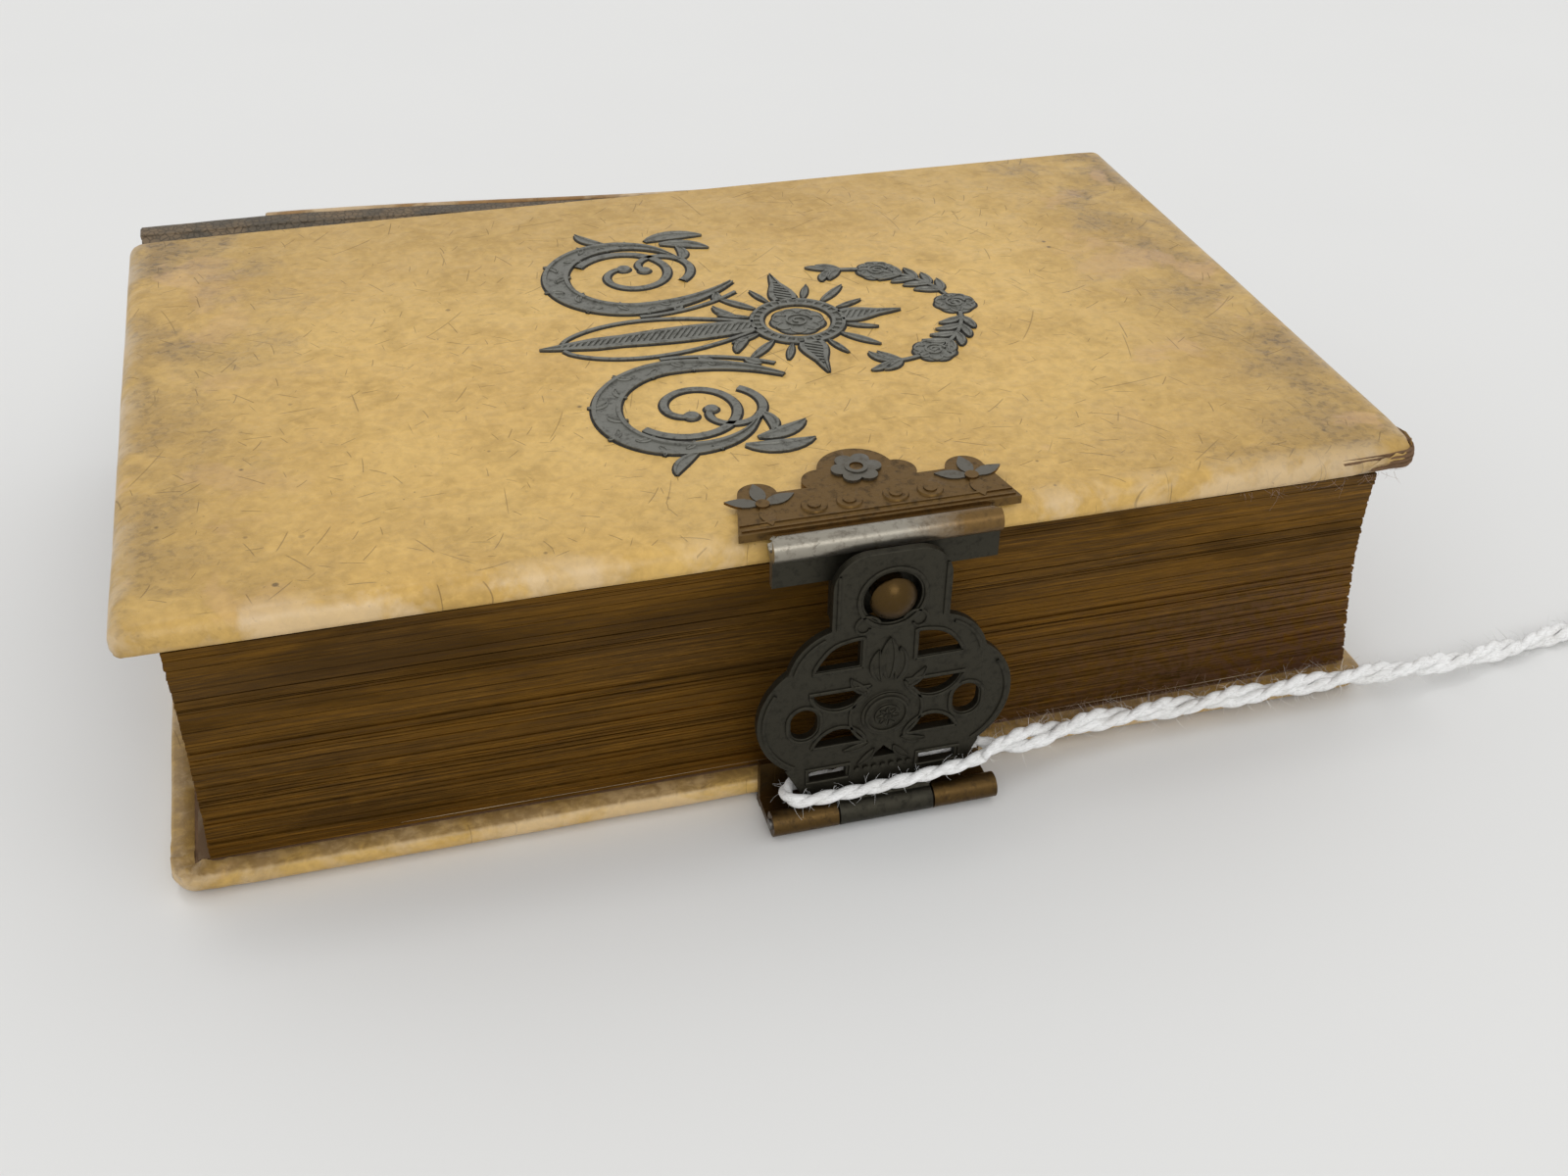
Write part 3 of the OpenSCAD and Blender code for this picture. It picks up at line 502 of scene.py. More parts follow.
def soiled_endpaper(name, paper, soil):
    """Pasted-down endpaper: yellowed under the leaves, brown with dirt where its margins show."""
    f = Finish(name, Roughness=0.85)
    g = f.g
    place = g.add("SeparateXYZ", {0: f.mm}).outputs
    cloud = f.blotches(5.0, 1.1)
    fibre = g.noise(g.place(f.mm, (1, 1, 1)), 3.0, 4.0, 0.7)
    margin = g.larger(g.ramp(g.absolute(place[0]), 45.0, 51.5), g.ramp(place[1], -26.0, -32.5))
    dirt = g.plus(margin, g.times(g.minus(cloud, 0.5), 0.5), clamp=True)
    base = g.mix(g.times(g.ramp(fibre, 0.5, 0.7), 0.35), paper, dim(paper, 0.7))
    f.set(Base_Color=g.mix(dirt, base, soil), Normal=f.bump(fibre, 0.05, 0.5))
    return f.material


def woven(name, base_colour, pitch=0.35):
    """Plain woven cloth or silk thread."""
    f = Finish(name, Roughness=0.8)
    g = f.g
    across = g.add(
        "TexWave", {"Vector": f.mm, "Scale": 1 / pitch / 2, "Distortion": 0.3}, bands_direction="X"
    ).outputs["Fac"]
    along = g.add(
        "TexWave", {"Vector": f.mm, "Scale": 1 / pitch / 2, "Distortion": 0.3}, bands_direction="Z"
    ).outputs["Fac"]
    weave = g.larger(across, along)
    base = g.mix(g.ramp(weave, 0.2, 1.0), dim(base_colour, 0.5), base_colour)
    f.set(Base_Color=base, Normal=f.bump(weave, 0.1, 0.8))
    return f.material


def cotton(name, base_colour, soil_colour):
    """Off-white cotton with fibres along the strand."""
    f = Finish(name, Roughness=0.95)
    g = f.g
    f.shader.inputs["Sheen Weight"].default_value = 0.4
    f.shader.inputs["Sheen Roughness"].default_value = 0.5
    along = g.noise(g.place(f.mm, (1.0, 9.0, 9.0), (0, 0, 0.35)), 1.0, 4.0, 0.7)
    soil = f.blotches(3.0, 0.9)
    base = g.mix(g.times(g.ramp(soil, 0.4, 1.0), 0.25), base_colour, soil_colour)
    base = g.layer(base, dim(soil_colour, 0.6), g.ramp(along, 0.52, 0.35), 0.35)
    f.set(Base_Color=base, Normal=f.bump(along, 0.12, 0.8))
    return f.material


def roll_metal(name, bright, brass, dirt):
    """The moulding's metal: bright towards the tail, brown towards the head."""
    f = Finish(name, Metallic=0.9, Roughness=0.34)
    g = f.g
    tarnish = f.use("Tarnish", Wear=0.6)
    across = g.plus(g.add("SeparateXYZ", {0: f.mm}).outputs[0], g.times(tarnish["Height"], 5.0))
    base = g.mix(g.ramp(across, 8.5, 14.0), bright, brass)
    base = g.layer(base, dirt, tarnish["Dirt"], 0.5)
    lines = f.use("Scratches", Spacing=1.6, Width=0.08, Amount=0.7)["Mask"]
    f.set(Base_Color=base, Normal=f.bump(g.minus(tarnish["Height"], lines), 0.05, 0.6))
    return f.material


MATERIALS = {}


def make_materials(s):
    Finish.effects = {
        tree.name: tree
        for tree in (
            make_scratches(), make_specks(), make_blotches(), make_tarnish(), make_leaf_lines(), make_grain()
        )
    }
    c, l, m = s.cover, s.leaves, s.metal
    MATERIALS.update(
        celluloid=celluloid("Yellowed celluloid", c.ivory[:], c.honey[:], c.stain[:], c.blush[:]),
        spine_celluloid=celluloid(
            "Amber celluloid", (0.40, 0.22, 0.06), (0.30, 0.15, 0.035), c.stain[:], c.blush[:], 0.6
        ),
        board=paper_like("Pulp board", c.pulp[:], dim(c.pulp, 2.2), 0.4, 0.95, 1.0),
        gilt=gilt_edges("Gilt leaf edges", l.gilt[:], l.gap[:], l.dust[:]),
        paper=paper_like("Yellowed paper", l.paper[:], dim(l.paper, 0.72)),
        endpaper=soiled_endpaper("Soiled endpaper", dim(l.paper, 0.8), (0.12, 0.068, 0.030)),
        leather=old_leather("Old leather", (0.088, 0.068, 0.043), (0.17, 0.12, 0.070)),
        lining=paper_like("Lining paper", (0.36, 0.26, 0.15), (0.2, 0.13, 0.07)),
        linen=woven("Linen tape", (0.50, 0.43, 0.32)),
        silk=woven("Silk band", (0.34, 0.06, 0.045), 0.3),
        hasp=old_metal("Dark hasp metal", m.hasp[:], dim(m.hasp, 2.3), dim(m.hasp, 0.4), 0.3, 0.46, 0.85),
        catch=old_metal("Brown brass", m.catch[:], dim(m.catch, 1.9), (0.035, 0.024, 0.014), 0.35, 0.40),
        silver=old_metal("Bared silver", m.silver[:], dim(m.silver, 1.3), (0.09, 0.07, 0.045), 0.5, 0.34),
        hinge=old_metal("Dark hinge brass", dim(m.catch, 0.62), dim(m.catch, 1.9), (0.03, 0.02, 0.012), 0.4, 0.38),
        stud=old_metal("Stud brass", m.stud[:], dim(m.stud, 1.5), (0.07, 0.04, 0.015), 0.4, 0.30),
        pin=old_metal("Steel pin", (0.20, 0.19, 0.175), (0.4, 0.39, 0.37), (0.05, 0.04, 0.03)),
        ornament=old_metal(
            "Grey ornament metal", m.ornament[:], dim(m.ornament, 1.6), (0.03, 0.027, 0.02), 0.3, 0.42, 0.75
        ),
        # Outline: dark adhesive and painted shadow of the groove round the ornament's metal
        outline=old_metal("Dark adhesive and painted groove shadow", m.outline[:], dim(m.outline, 2.0), (0.01, 0.01, 0.01), 0.2, 0.6, 0.2),
        cotton=cotton("Cotton twine", s.string.cotton[:], (0.50, 0.47, 0.41)),
        lint=cotton("Brown lint", (0.34, 0.22, 0.17), (0.18, 0.10, 0.07)),
        roll=roll_metal("Rubbed moulding", (0.31, 0.285, 0.235), (0.17, 0.10, 0.035), (0.06, 0.038, 0.02)),
    )


# ---------------------------------------------------------------- mesh helpers


def finish_piece(bm, name, material, body=None, replaces=(), smooth=35):
    """Turns a bmesh into a placed piece of the book."""
    bmesh.ops.recalc_face_normals(bm, faces=bm.faces)
    mesh = bpy.data.meshes.new(name)
    bm.to_mesh(mesh)
    bm.free()
    mesh.shade_smooth()
    if smooth < 180:
        mesh.set_sharp_from_angle(angle=math.radians(smooth))
    piece = bpy.data.objects.new(name, mesh)
    bpy.context.scene.collection.objects.link(piece)
    mesh.materials.append(MATERIALS[material])
    if body:
        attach(piece, body)
    if replaces:
        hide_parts(*replaces)
    return piece


def merge(target, source):
    """Adds one bmesh to another."""
    mesh = bpy.data.meshes.new("part")
    source.to_mesh(mesh)
    source.free()
    target.from_mesh(mesh)
    bpy.data.meshes.remove(mesh)


def wobble(point, size, seed=0.0):
    """Smooth noise between -1 and 1 at a point, over a given size."""
    return noise.noise(Vector(point) / size + Vector((seed, seed * 1.7, seed * 0.3)))


def ring_profile(radius, sides=6):
    return [
        (radius * math.cos(2 * math.pi * i / sides), radius * math.sin(2 * math.pi * i / sides)) for i in range(sides)
    ]


def only(geom, kind):
    """The elements of one kind among an operator's results."""
    return [e for e in geom if isinstance(e, kind)]


def neighbours(items, closed):
    """Pairs of items that follow each other, and the last with the first where the row is closed."""
    return list(zip(items, items[1:])) + ([(items[-1], items[0])] if closed else [])


def sweep(bm, path, profile, size=None, up=None, closed=False):
    """Draws a profile along a path by extruding its edges step by step.

    The profile may be a function of the place along the path, 0 to 1. size(t) scales it, up is the direction
    of its second value and closed closes it."""
    last = len(path) - 1
    rings = []
    for i, point in enumerate(path):
        before = path[max(i - 1, 0)]
        after = path[min(i + 1, last)]
        along = (after - before).normalized()
        top = up if up is not None else (UP if abs(along.z) < 0.95 else BACK)
        side = along.cross(top).normalized()
        top = side.cross(along)
        k = size(i / last) if size else 1.0
        pairs = profile(i / last) if callable(profile) else profile
        spots = [point + side * a * k + top * b * k for a, b in pairs]
        if not rings:
            verts = [bm.verts.new(p) for p in spots]
            edges = [bm.edges.new(pair) for pair in neighbours(verts, closed)]
        else:
            old = {v: v.co.copy() for v in verts}
            made = bmesh.ops.extrude_edge_only(bm, edges=edges)["geom"]
            link = {}
            for v in only(made, bmesh.types.BMVert):
                for e in v.link_edges:
                    other = e.other_vert(v)
                    if other in old and (other.co - v.co).length < 1e-12:
                        link[other] = v
            verts = [link[v] for v in verts]
            edges = [bm.edges.get(pair) for pair in neighbours(verts, closed)]
            for v, p in zip(verts, spots):
                v.co = p
        rings.append(verts)
    if closed:
        bm.faces.new(rings[0])
        bm.faces.new(list(reversed(rings[-1])))
    return rings


def merged_copy(node):
    """A CAD node's mesh with its doubled points and flat seams merged."""
    bm = bmesh.new()
    bm.from_mesh(NODES[node].data)
    bmesh.ops.remove_doubles(bm, verts=bm.verts, dist=2e-6)
    bmesh.ops.dissolve_limit(bm, angle_limit=math.radians(0.6), verts=bm.verts, edges=bm.edges)
    return bm


def dressed(node, name, material, body, bevel):
    """A merged, softly bevelled copy of a CAD node, which it replaces."""
    bm = merged_copy(node)
    piece = finish_piece(bm, name, material, body, (node,), smooth=30)
    softener = piece.modifiers.new("Soft edges", "BEVEL")
    softener.width = bevel * MM
    softener.segments = 2
    softener.limit_method = "ANGLE"
    softener.angle_limit = math.radians(BEVEL_ANGLE)
    softener.use_clamp_overlap = True
    softener.harden_normals = False
    return piece


def paint(node, material):
    """A CAD node that stays gets its finish."""
    mesh = NODES[node].data
    mesh.materials.clear()
    mesh.materials.append(MATERIALS[material])


def flat_faces(mesh, material):
    """Gives the top and the bottom of a stack of leaves another material than its edges."""
    mesh.materials.append(MATERIALS[material])
    low, high = min(v.co.z for v in mesh.vertices), max(v.co.z for v in mesh.vertices)
    for face in mesh.polygons:
        outer = min(face.center.z - low, high - face.center.z) < 0.3 * MM
        face.material_index = 1 if abs(face.normal.z) > 0.8 and outer else 0


# ---------------------------------------------------------------- covers


def wear_at(x, y, head):
    """How worn a plate is around its fore corner at the head (1) or the tail (-1), 0 to 1."""
    away = math.hypot(HALF_LEN - head * x, y - FORE_Y) / WEAR_REACH
    return max(0.0, 1 - away)


def cover_sheet(s, seed, worn_end):
    """The front cover's celluloid: a sheet turned down over three edges and in under the board."""
    bm = bmesh.new()
    bmesh.ops.create_grid(bm, x_segments=150, y_segments=96, size=1)
    edge_layer = bm.verts.layers.float.new("edge")
    r, corner = s.edge_round, s.corner_round
    depth = JOINT_Y - FORE_Y
    for v in bm.verts:
        x = HALF_LEN * math.sin(math.pi / 2 * v.co.x)
        y = FORE_Y + depth * (math.sin(math.pi / 2 * v.co.y) + 1) / 2
        over_x, over_y = abs(x) - (HALF_LEN - corner), FORE_Y + corner - y
        if over_x > 0 and over_y > 0:
            shrink = max(over_x, over_y) / math.hypot(over_x, over_y)
            over_x, over_y = over_x * shrink, over_y * shrink
            x = math.copysign(HALF_LEN - corner + over_x, x)
            y = FORE_Y + corner - over_y
            inside = corner - math.hypot(over_x, over_y)
        else:
            inside = min(HALF_LEN - abs(x), y - FORE_Y)
        drop = r - math.sqrt(max(0.0, r * r - (r - inside) ** 2)) if inside < r else 0.0
        soft = 0.20 * MM * max(0.0, 1 - inside / (5 * MM)) ** 2
        v.co = Vector((x, y, BOOK_TOP - drop - soft))
        v[edge_layer] = inside / MM
    rim = [e for e in bm.edges if e.is_boundary and min(v.co.y for v in e.verts) < JOINT_Y - 1e-6]
    low = PLATE_LOW.z
    for inset, z, mark in TURN_IN:
        made = bmesh.ops.extrude_edge_only(bm, edges=rim)["geom"]
        fresh = only(made, bmesh.types.BMVert)
        room_x, room_y = HALF_LEN - inset * MM, FORE_Y + inset * MM
        for v in fresh:
            v.co = Vector((max(-room_x, min(room_x, v.co.x)), max(room_y, v.co.y), low + z * MM))
            v[edge_layer] = mark
        rim = [e for e in only(made, bmesh.types.BMEdge) if all(v in fresh for v in e.verts)]
    for v in bm.verts:
        p = v.co
        inside = v[edge_layer]
        side = max(0.0, 1 - abs(inside) / 1.5)
        sag = 0.07 * MM * wobble(p, 0.02, seed) + 0.03 * MM * wobble(p, 0.005, seed + 3)
        away = Vector((p.x / HALF_LEN, (p.y - (FORE_Y + JOINT_Y) / 2) / (depth / 2), 0))
        away = Vector((math.copysign(abs(away.x) ** 6, away.x), math.copysign(abs(away.y) ** 6, away.y), 0))
        if away.length > 1e-3:
            away.normalize()
        p += away * (0.09 * MM * wobble(p, 0.008, seed + 8) - 0.05 * MM) * side
        if inside > 1:
            p.z += min(sag, 0.0)
        w = wear_at(p.x, p.y, worn_end)
        rough = 1 + 0.6 * wobble(p, 0.0011, 5)
        if worn_end > 0:
            p.x -= 0.7 * MM * w * w * rough
            p.y += 0.5 * MM * w * w * rough
            if p.z < low + 0.8 * MM and inside > -0.3:
                p.z += 1.15 * MM * min(1.0, 1.6 * w) * rough
        else:
            crease = wobble(p, 0.0013, 21)
            p.z -= 0.35 * MM * w * (0.5 + crease) * (1 if inside > 0 else 0.0)
            if inside < 0:
                p.z -= 0.75 * MM * min(1.0, 1.5 * w) * max(0.0, 0.35 + wobble(p, 0.0009, 33))
            p += away * 0.25 * MM * w * (crease - 0.8) * side
    bmesh.ops.solidify(bm, geom=bm.faces, thickness=s.plate_thickness * 0.55)
    bmesh.ops.recalc_face_normals(bm, faces=bm.faces)
    return bm


def worn_board_edge():
    """Layers of bare board that show under the front plate's worn corner."""
    bm = bmesh.new()
    corner = 2 * MM
    fore, head = FORE_Y + 0.22 * MM, HALF_LEN - 0.22 * MM
    path = [Vector((head - (17 - 0.5 * i) * MM, fore, 0)) for i in range(31)]
    for i in range(1, 10):
        a = math.radians(-90 + 9 * i)
        path.append(Vector((head - corner + corner * math.cos(a), fore + corner + corner * math.sin(a), 0)))
    path += [Vector((head, fore + corner + 0.5 * MM * i, 0)) for i in range(1, 15)]
    low = PLATE_LOW.z
    steps = []
    for k in range(7):
        steps += [
            (0.0 if k % 2 else 0.16 * MM, low + (0.02 + 0.24 * k) * MM),
            (0.0 if k % 2 else 0.16 * MM, low + (0.20 + 0.24 * k) * MM)
        ]
    rings = sweep(bm, path, [(-a, z) for a, z in steps], up=UP)
    for i, ring in enumerate(rings):
        fade = min(1.0, i / 18, (len(rings) - 1 - i) / 10)
        for v in ring:
            p = v.co
            pull = (1 - fade) * 1.0 * MM + 0.13 * MM * wobble((p.x, p.y, p.z * 4), 0.0016, 3)
            out = Vector((p.x - (head - 8 * MM), p.y - (fore + 8 * MM), 0)).normalized()
            v.co = p - out * pull
    bmesh.ops.solidify(bm, geom=bm.faces, thickness=0.3 * MM)
    return bm


class BOOK_OT_covers(bpy.types.Operator):
    """Celluloid plates, boards and endpapers"""

    bl_idname = "prayer_book.covers"
    bl_label = "Covers"

    def execute(self, context):
        s = context.scene.prayer_book.cover
        front = cover_sheet(s, 1.0, 1)
        finish_piece(front, "front_celluloid", "celluloid", "front_cover", ("front_plate",), 60)
        finish_piece(worn_board_edge(), "front_board_worn_edge", "board", "front_cover", (), 60)
        back = cover_sheet(s, 7.0, -1)
        bmesh.ops.scale(back, vec=(1, 1, -1), verts=back.verts)
        bmesh.ops.translate(back, vec=(0, 0, BOOK_TOP), verts=back.verts)
        finish_piece(back, "back_celluloid", "celluloid", "back_cover", ("back_plate",), 60)
        for side in ("front", "back"):
            dressed(side + "_board", side + "_board_soft", "board", side + "_cover", 0.7)
            paint(side + "_pastedown", "endpaper")
        return {"FINISHED"}


# ---------------------------------------------------------------- leaves


def leaf_bounds():
    """Fore and back limits of each gathering by height."""
    rows = []
    for i in range(1, GATHERINGS + 1):
        low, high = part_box(f"gathering_{i}")
        rows.append(((low.z + high.z) / 2, low.y, high.y))
    return rows


def leaf_slab(bm, rng, low, high, z0, z1, ragged, seed, skew, lean):
    """One thin slab of leaves with uneven edges, subdivided so that its edges can wander."""
    made = bmesh.ops.create_cube(bm, size=1)["verts"]
    bmesh.ops.scale(bm, vec=(high.x - low.x, high.y - low.y, z1 - z0), verts=made)
    bmesh.ops.translate(bm, vec=((low.x + high.x) / 2, (low.y + high.y) / 2, (z0 + z1) / 2), verts=made)
    edges = {e for v in made for e in v.link_edges}
    for axis, cuts in ((0, 26), (1, 5)):
        wanted = [
            e
            for e in edges if abs(e.verts[0].co[axis] - e.verts[1].co[axis]) > 1 * MM and abs(
                e.verts[0].co[1 - axis] - e.verts[1].co[1 - axis]
            ) < 1e-6
        ]
        geom = bmesh.ops.subdivide_edges(bm, edges=wanted, cuts=cuts, use_grid_fill=True)["geom_inner"]
        edges |= set(only(geom, bmesh.types.BMEdge))
        made = list({v for e in edges if e.is_valid for v in e.verts})
        edges = {e for v in made for e in v.link_edges}
    fore, head, tail = (rng.uniform(-1, 1) ** 3 * ragged for _ in range(3))
    for v in made:
        p = v.co
        x_in, y_in = p.x, p.y
        bow = 0.16 * MM * wobble((x_in, y_in, z0 * 2), 0.03, 2) + 0.05 * MM * wobble((x_in, y_in, z0 * 7), 0.008, 4)
        if y_in < low.y + 1 * MM:
            p.y += fore + 0.5 * ragged * wobble((x_in, z0 * 60, 0), 0.006, seed)
        if x_in > high.x - 1 * MM:
            p.x += head * 1.3 - lean + 0.6 * ragged * wobble((y_in, z0 * 60, 0), 0.006, seed + 5)
        elif x_in < low.x + 1 * MM:
            p.x += tail + 0.4 * ragged * wobble((y_in, z0 * 60, 0), 0.006, seed + 5)
        p.x -= skew * (y_in - low.y)
        p.z += bow
    return made


class BOOK_OT_leaves(bpy.types.Operator):
    """Leaves with gilt edges, endpapers and the leaves that lift"""

    bl_idname = "prayer_book.leaves"
    bl_label = "Leaves"

    def execute(self, context):
        s = context.scene.prayer_book.leaves
        rng = random.Random(11)
        rows = leaf_bounds()
        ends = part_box("gathering_1")
        z0 = ends[0].z
        z1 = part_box(f"gathering_{GATHERINGS}")[1].z
        count = GATHERINGS * s.slabs

        def at(z, column):
            if z <= rows[0][0]:
                return rows[0][column]
            for below, above in zip(rows, rows[1:]):
                if z <= above[0]:
                    k = (z - below[0]) / (above[0] - below[0])
                    return below[column] * (1 - k) + above[column] * k
            return rows[-1][column]

        bm = bmesh.new()
        cuts = [0.0]
        while cuts[-1] < 1:
            cuts.append(cuts[-1] + rng.uniform(0.45, 1.55) / count)
        cuts = [z0 + (z1 - z0) * c / cuts[-1] for c in cuts]
        for i, (below, above) in enumerate(zip(cuts, cuts[1:])):
            middle = (below + above) / 2
            inset = SHORT_LEAF if rng.random() < SHORT_CHANCE else 0.0
            low = Vector((ends[0].x + inset, at(middle, 1) + inset, 0))
            high = Vector((ends[1].x - inset, at(middle, 2) - 0.1 * MM, 0))
            up = (middle - z0) / (z1 - z0)
            leaf_slab(
                bm, rng, low, high, below + 0.012 * MM, above, s.ragged, i * 0.37, LEAF_SKEW, LEAF_LEAN * up**1.5
            )
        block = finish_piece(
            bm, "leaf_block", "gilt", "block", [f"gathering_{i}" for i in range(1, GATHERINGS + 1)], 40
        )
        flat_faces(block.data, "paper")
        for i in range(1, LEAF_GROUPS + 1):
            node = f"leaf_group_{i}"
            low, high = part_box(node)
            bm = bmesh.new()
            middle = (low.z + high.z) / 2
            leaf_slab(bm, rng, low, high, low.z + 0.01 * MM, middle, s.ragged * 0.7, i * 1.3, LEAF_SKEW, LEAF_LEAN)
            leaf_slab(bm, rng, low, high, middle + 0.02 * MM, high.z, s.ragged * 0.7, i * 2.3, LEAF_SKEW, LEAF_LEAN)
            leaves = finish_piece(bm, f"lifting_leaves_{i}", "gilt", f"leaves_{i}", (node,), 40)
            flat_faces(leaves.data, "paper")
        for node in ("front_flyleaf", "back_flyleaf"):
            paint(node, "gilt")
        flat_faces(NODES["front_flyleaf"].data, "paper")
        leaf_mesh = NODES["back_flyleaf"].data
        leaf_mesh.materials.append(MATERIALS["paper"])
        for face in leaf_mesh.polygons:
            face.material_index = 1 if face.normal.z < -0.8 else 0
        for name, body, start, end, y, z, count in (
            ("ledge_lint", "back_cover", 16, 55, 1.1, BOOK_TOP - PLATE_LOW.z + 0.1 * MM, 620),
            ("corner_lint", "front_cover", 38, 55.5, 0.5, PLATE_LOW.z - 0.1 * MM, 90),
        ):
            bm = bmesh.new()
            path = [Vector((start * MM + (end - start) * MM * i / 60, FORE_Y + y * MM, z)) for i in range(61)]
            fuzz(bm, rng, path, 0.3 * MM, count, 1.5 * MM)
            finish_piece(bm, name, "lint", body, (), 180)
        paint("sewing_tapes", "linen")
        paint("spine_lining", "lining")
        paint("head_band", "silk")
        paint("tail_band", "silk")
        return {"FINISHED"}


# ---------------------------------------------------------------- spine


def sunk(x):
    """How far the spine's upper edge has sunk, growing from the tail towards the head."""
    t = max(0.0, min(1.0, (x - SINK_FROM) / SINK_OVER))
    return SINK_DEPTH * t * t * (3 - 2 * t)


class BOOK_OT_spine(bpy.types.Operator):
    """Leather spine and joints, card and celluloid spine plate"""

    bl_idname = "prayer_book.spine"
    bl_label = "Spine"

    def execute(self, context):
        self.band("spine_card", "spine_card_band", "lining", "lining", 0.05 * MM, 0.1 * MM)
        self.band("spine_leather", "spine_leather_band", "leather", "leather", 0.22 * MM, 0.5 * MM)
        self.band("spine_plate", "spine_celluloid_plate", "spine_celluloid", "spine_celluloid", 0.3 * MM, 0.06 * MM)
        for side, z_of in (("front", lambda z: z), ("back", lambda z: BOOK_TOP - z)):
            self.joint(side, z_of)
        return {"FINISHED"}

    def band(self, node, name, material, slot, bevel, ragged):
        """A merged copy of one layer of the spine, cut into short lengths so that it can sink and fray."""
        low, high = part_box(node)
        bm = merged_copy(node)
        sharp = [e for e in bm.edges if e.is_manifold and e.calc_face_angle(0) > math.radians(40)]
        bmesh.ops.bevel(
            bm, geom=sharp, offset=bevel, offset_type="OFFSET", affect="EDGES", segments=3, profile=0.5, material=-1,
            clamp_overlap=True
        )
        for i in range(1, BAND_CUTS):
            x = low.x + (high.x - low.x) * i / BAND_CUTS
            bmesh.ops.bisect_plane(
                bm, geom=bm.verts[:] + bm.edges[:] + bm.faces[:], plane_co=(x, 0, 0), plane_no=(1, 0, 0)
            )
        middle = BOOK_TOP / 2
        for v in bm.verts:
            p = v.co
            up = max(0.0, (p.z - middle) / middle)
            p.z -= sunk(p.x) * up**3
            end = max(0.0, 1 - min(p.x - low.x, high.x - p.x) / (3 * MM))
            p.x += ragged * end * wobble((p.y, p.z, p.x), 0.0017, 4)
            p.z += (ragged * 0.25 if up > 0.8 else 0.0) * (wobble((p.x, p.y, 0), 0.003, 6) - 0.6)
        finish_piece(bm, name, material, "block", (node,), 40)

    def joint(self, side, z_of):
        """A leather strip from the board's edge over the joint to the spine."""
        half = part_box(side + "_leather")[1].x
        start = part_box("spine_leather")[0].y
        top = BOOK_TOP - 0.22 * MM
        section = [
            (JOINT_Y - 0.05 * MM, top - 0.30 * MM),
            (JOINT_Y + 0.35 * MM, top - 0.25 * MM),
            (JOINT_Y + 0.9 * MM, top - 0.45 * MM),
            (JOINT_Y + 1.5 * MM, top - 0.60 * MM),
            (JOINT_Y + 2.1 * MM, top - 0.35 * MM),
            (start + 0.7 * MM, top - 0.04 * MM),
            (start + 1.6 * MM, top + 0.04 * MM),
            (start + 2.2 * MM, top - 0.04 * MM),
        ]
        bm = bmesh.new()
        path = [Vector((-half + 2 * half * i / JOINT_STEPS, 0, 0)) for i in range(JOINT_STEPS + 1)]
        rings = sweep(bm, path, [(-y, z) for y, z in section], up=UP)
        for i, ring in enumerate(rings):
            for k, v in enumerate(ring):
                end = max(0.0, 1 - min(i, JOINT_STEPS - i) / 2)
                v.co.x += 0.5 * MM * end * wobble((v.co.y, i * 0.01, 0), 0.0013, 12)
                v.co.z += 0.07 * MM * wobble(v.co, 0.004, 9) - (
                    sunk(v.co.x) * min(1.0, k / 4) if side == "front" else 0.0
                )
        bmesh.ops.solidify(bm, geom=bm.faces, thickness=JOINT_THICKNESS)
        for v in bm.verts:
            v.co.z = z_of(v.co.z)
        piece = finish_piece(bm, side + "_joint_leather", "leather", None, (side + "_leather",), 60)
        z = z_of(top)
        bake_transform(piece)


# ---------------------------------------------------------------- ornament


def polar(x, y, radius, angle):
    """The point at a radius and an angle in radians from another."""
    return x + radius * math.cos(angle), y + radius * math.sin(angle)


def arc(x, y, radius, start, end, steps=40):
    """Points of an arc in a flat plan, in millimetres and degrees."""
    turns = [math.radians(start + (end - start) * i / steps) for i in range(steps + 1)]
    return [polar(x, y, radius, a) for a in turns]


def spiral(x, y, r0, r1, start, end, steps=60):
    """Points of a spiral whose radius goes from r0 to r1."""
    out = []
    for i in range(steps + 1):
        t = i / steps
        a, r = math.radians(start + (end - start) * t), r0 + (r1 - r0) * t
        out.append(polar(x, y, r, a))
    return out


def channel(half, rim=0.5, top=0.27, floor=0.12):
    """Profile of a flat band with raised rims and a sunk floor; half(t) is its half width in millimetres."""

    def profile(t):
        h = max(0.05, half(t))
        r, b = min(rim, 0.55 * h), min(0.05, 0.2 * h)
        left = [(-h, 0), (-h, top - b), (-h + b, top), (-h + r, top), (-h + r + b, floor)]
        return [(a * MM, z * MM) for a, z in left + [(-a, z) for a, z in reversed(left)]]

    return profile


def flat_line(half, top=0.22):
    """Profile of a thin flat line with softened edges."""

    def profile(t):
        h = max(0.04, half(t))
        b = min(0.05, 0.3 * h)
        return [
            (a * MM, z * MM) for a, z in ((-h, 0), (-h, top - b), (-h + b, top), (h - b, top), (h, top - b), (h, 0))
        ]

    return profile


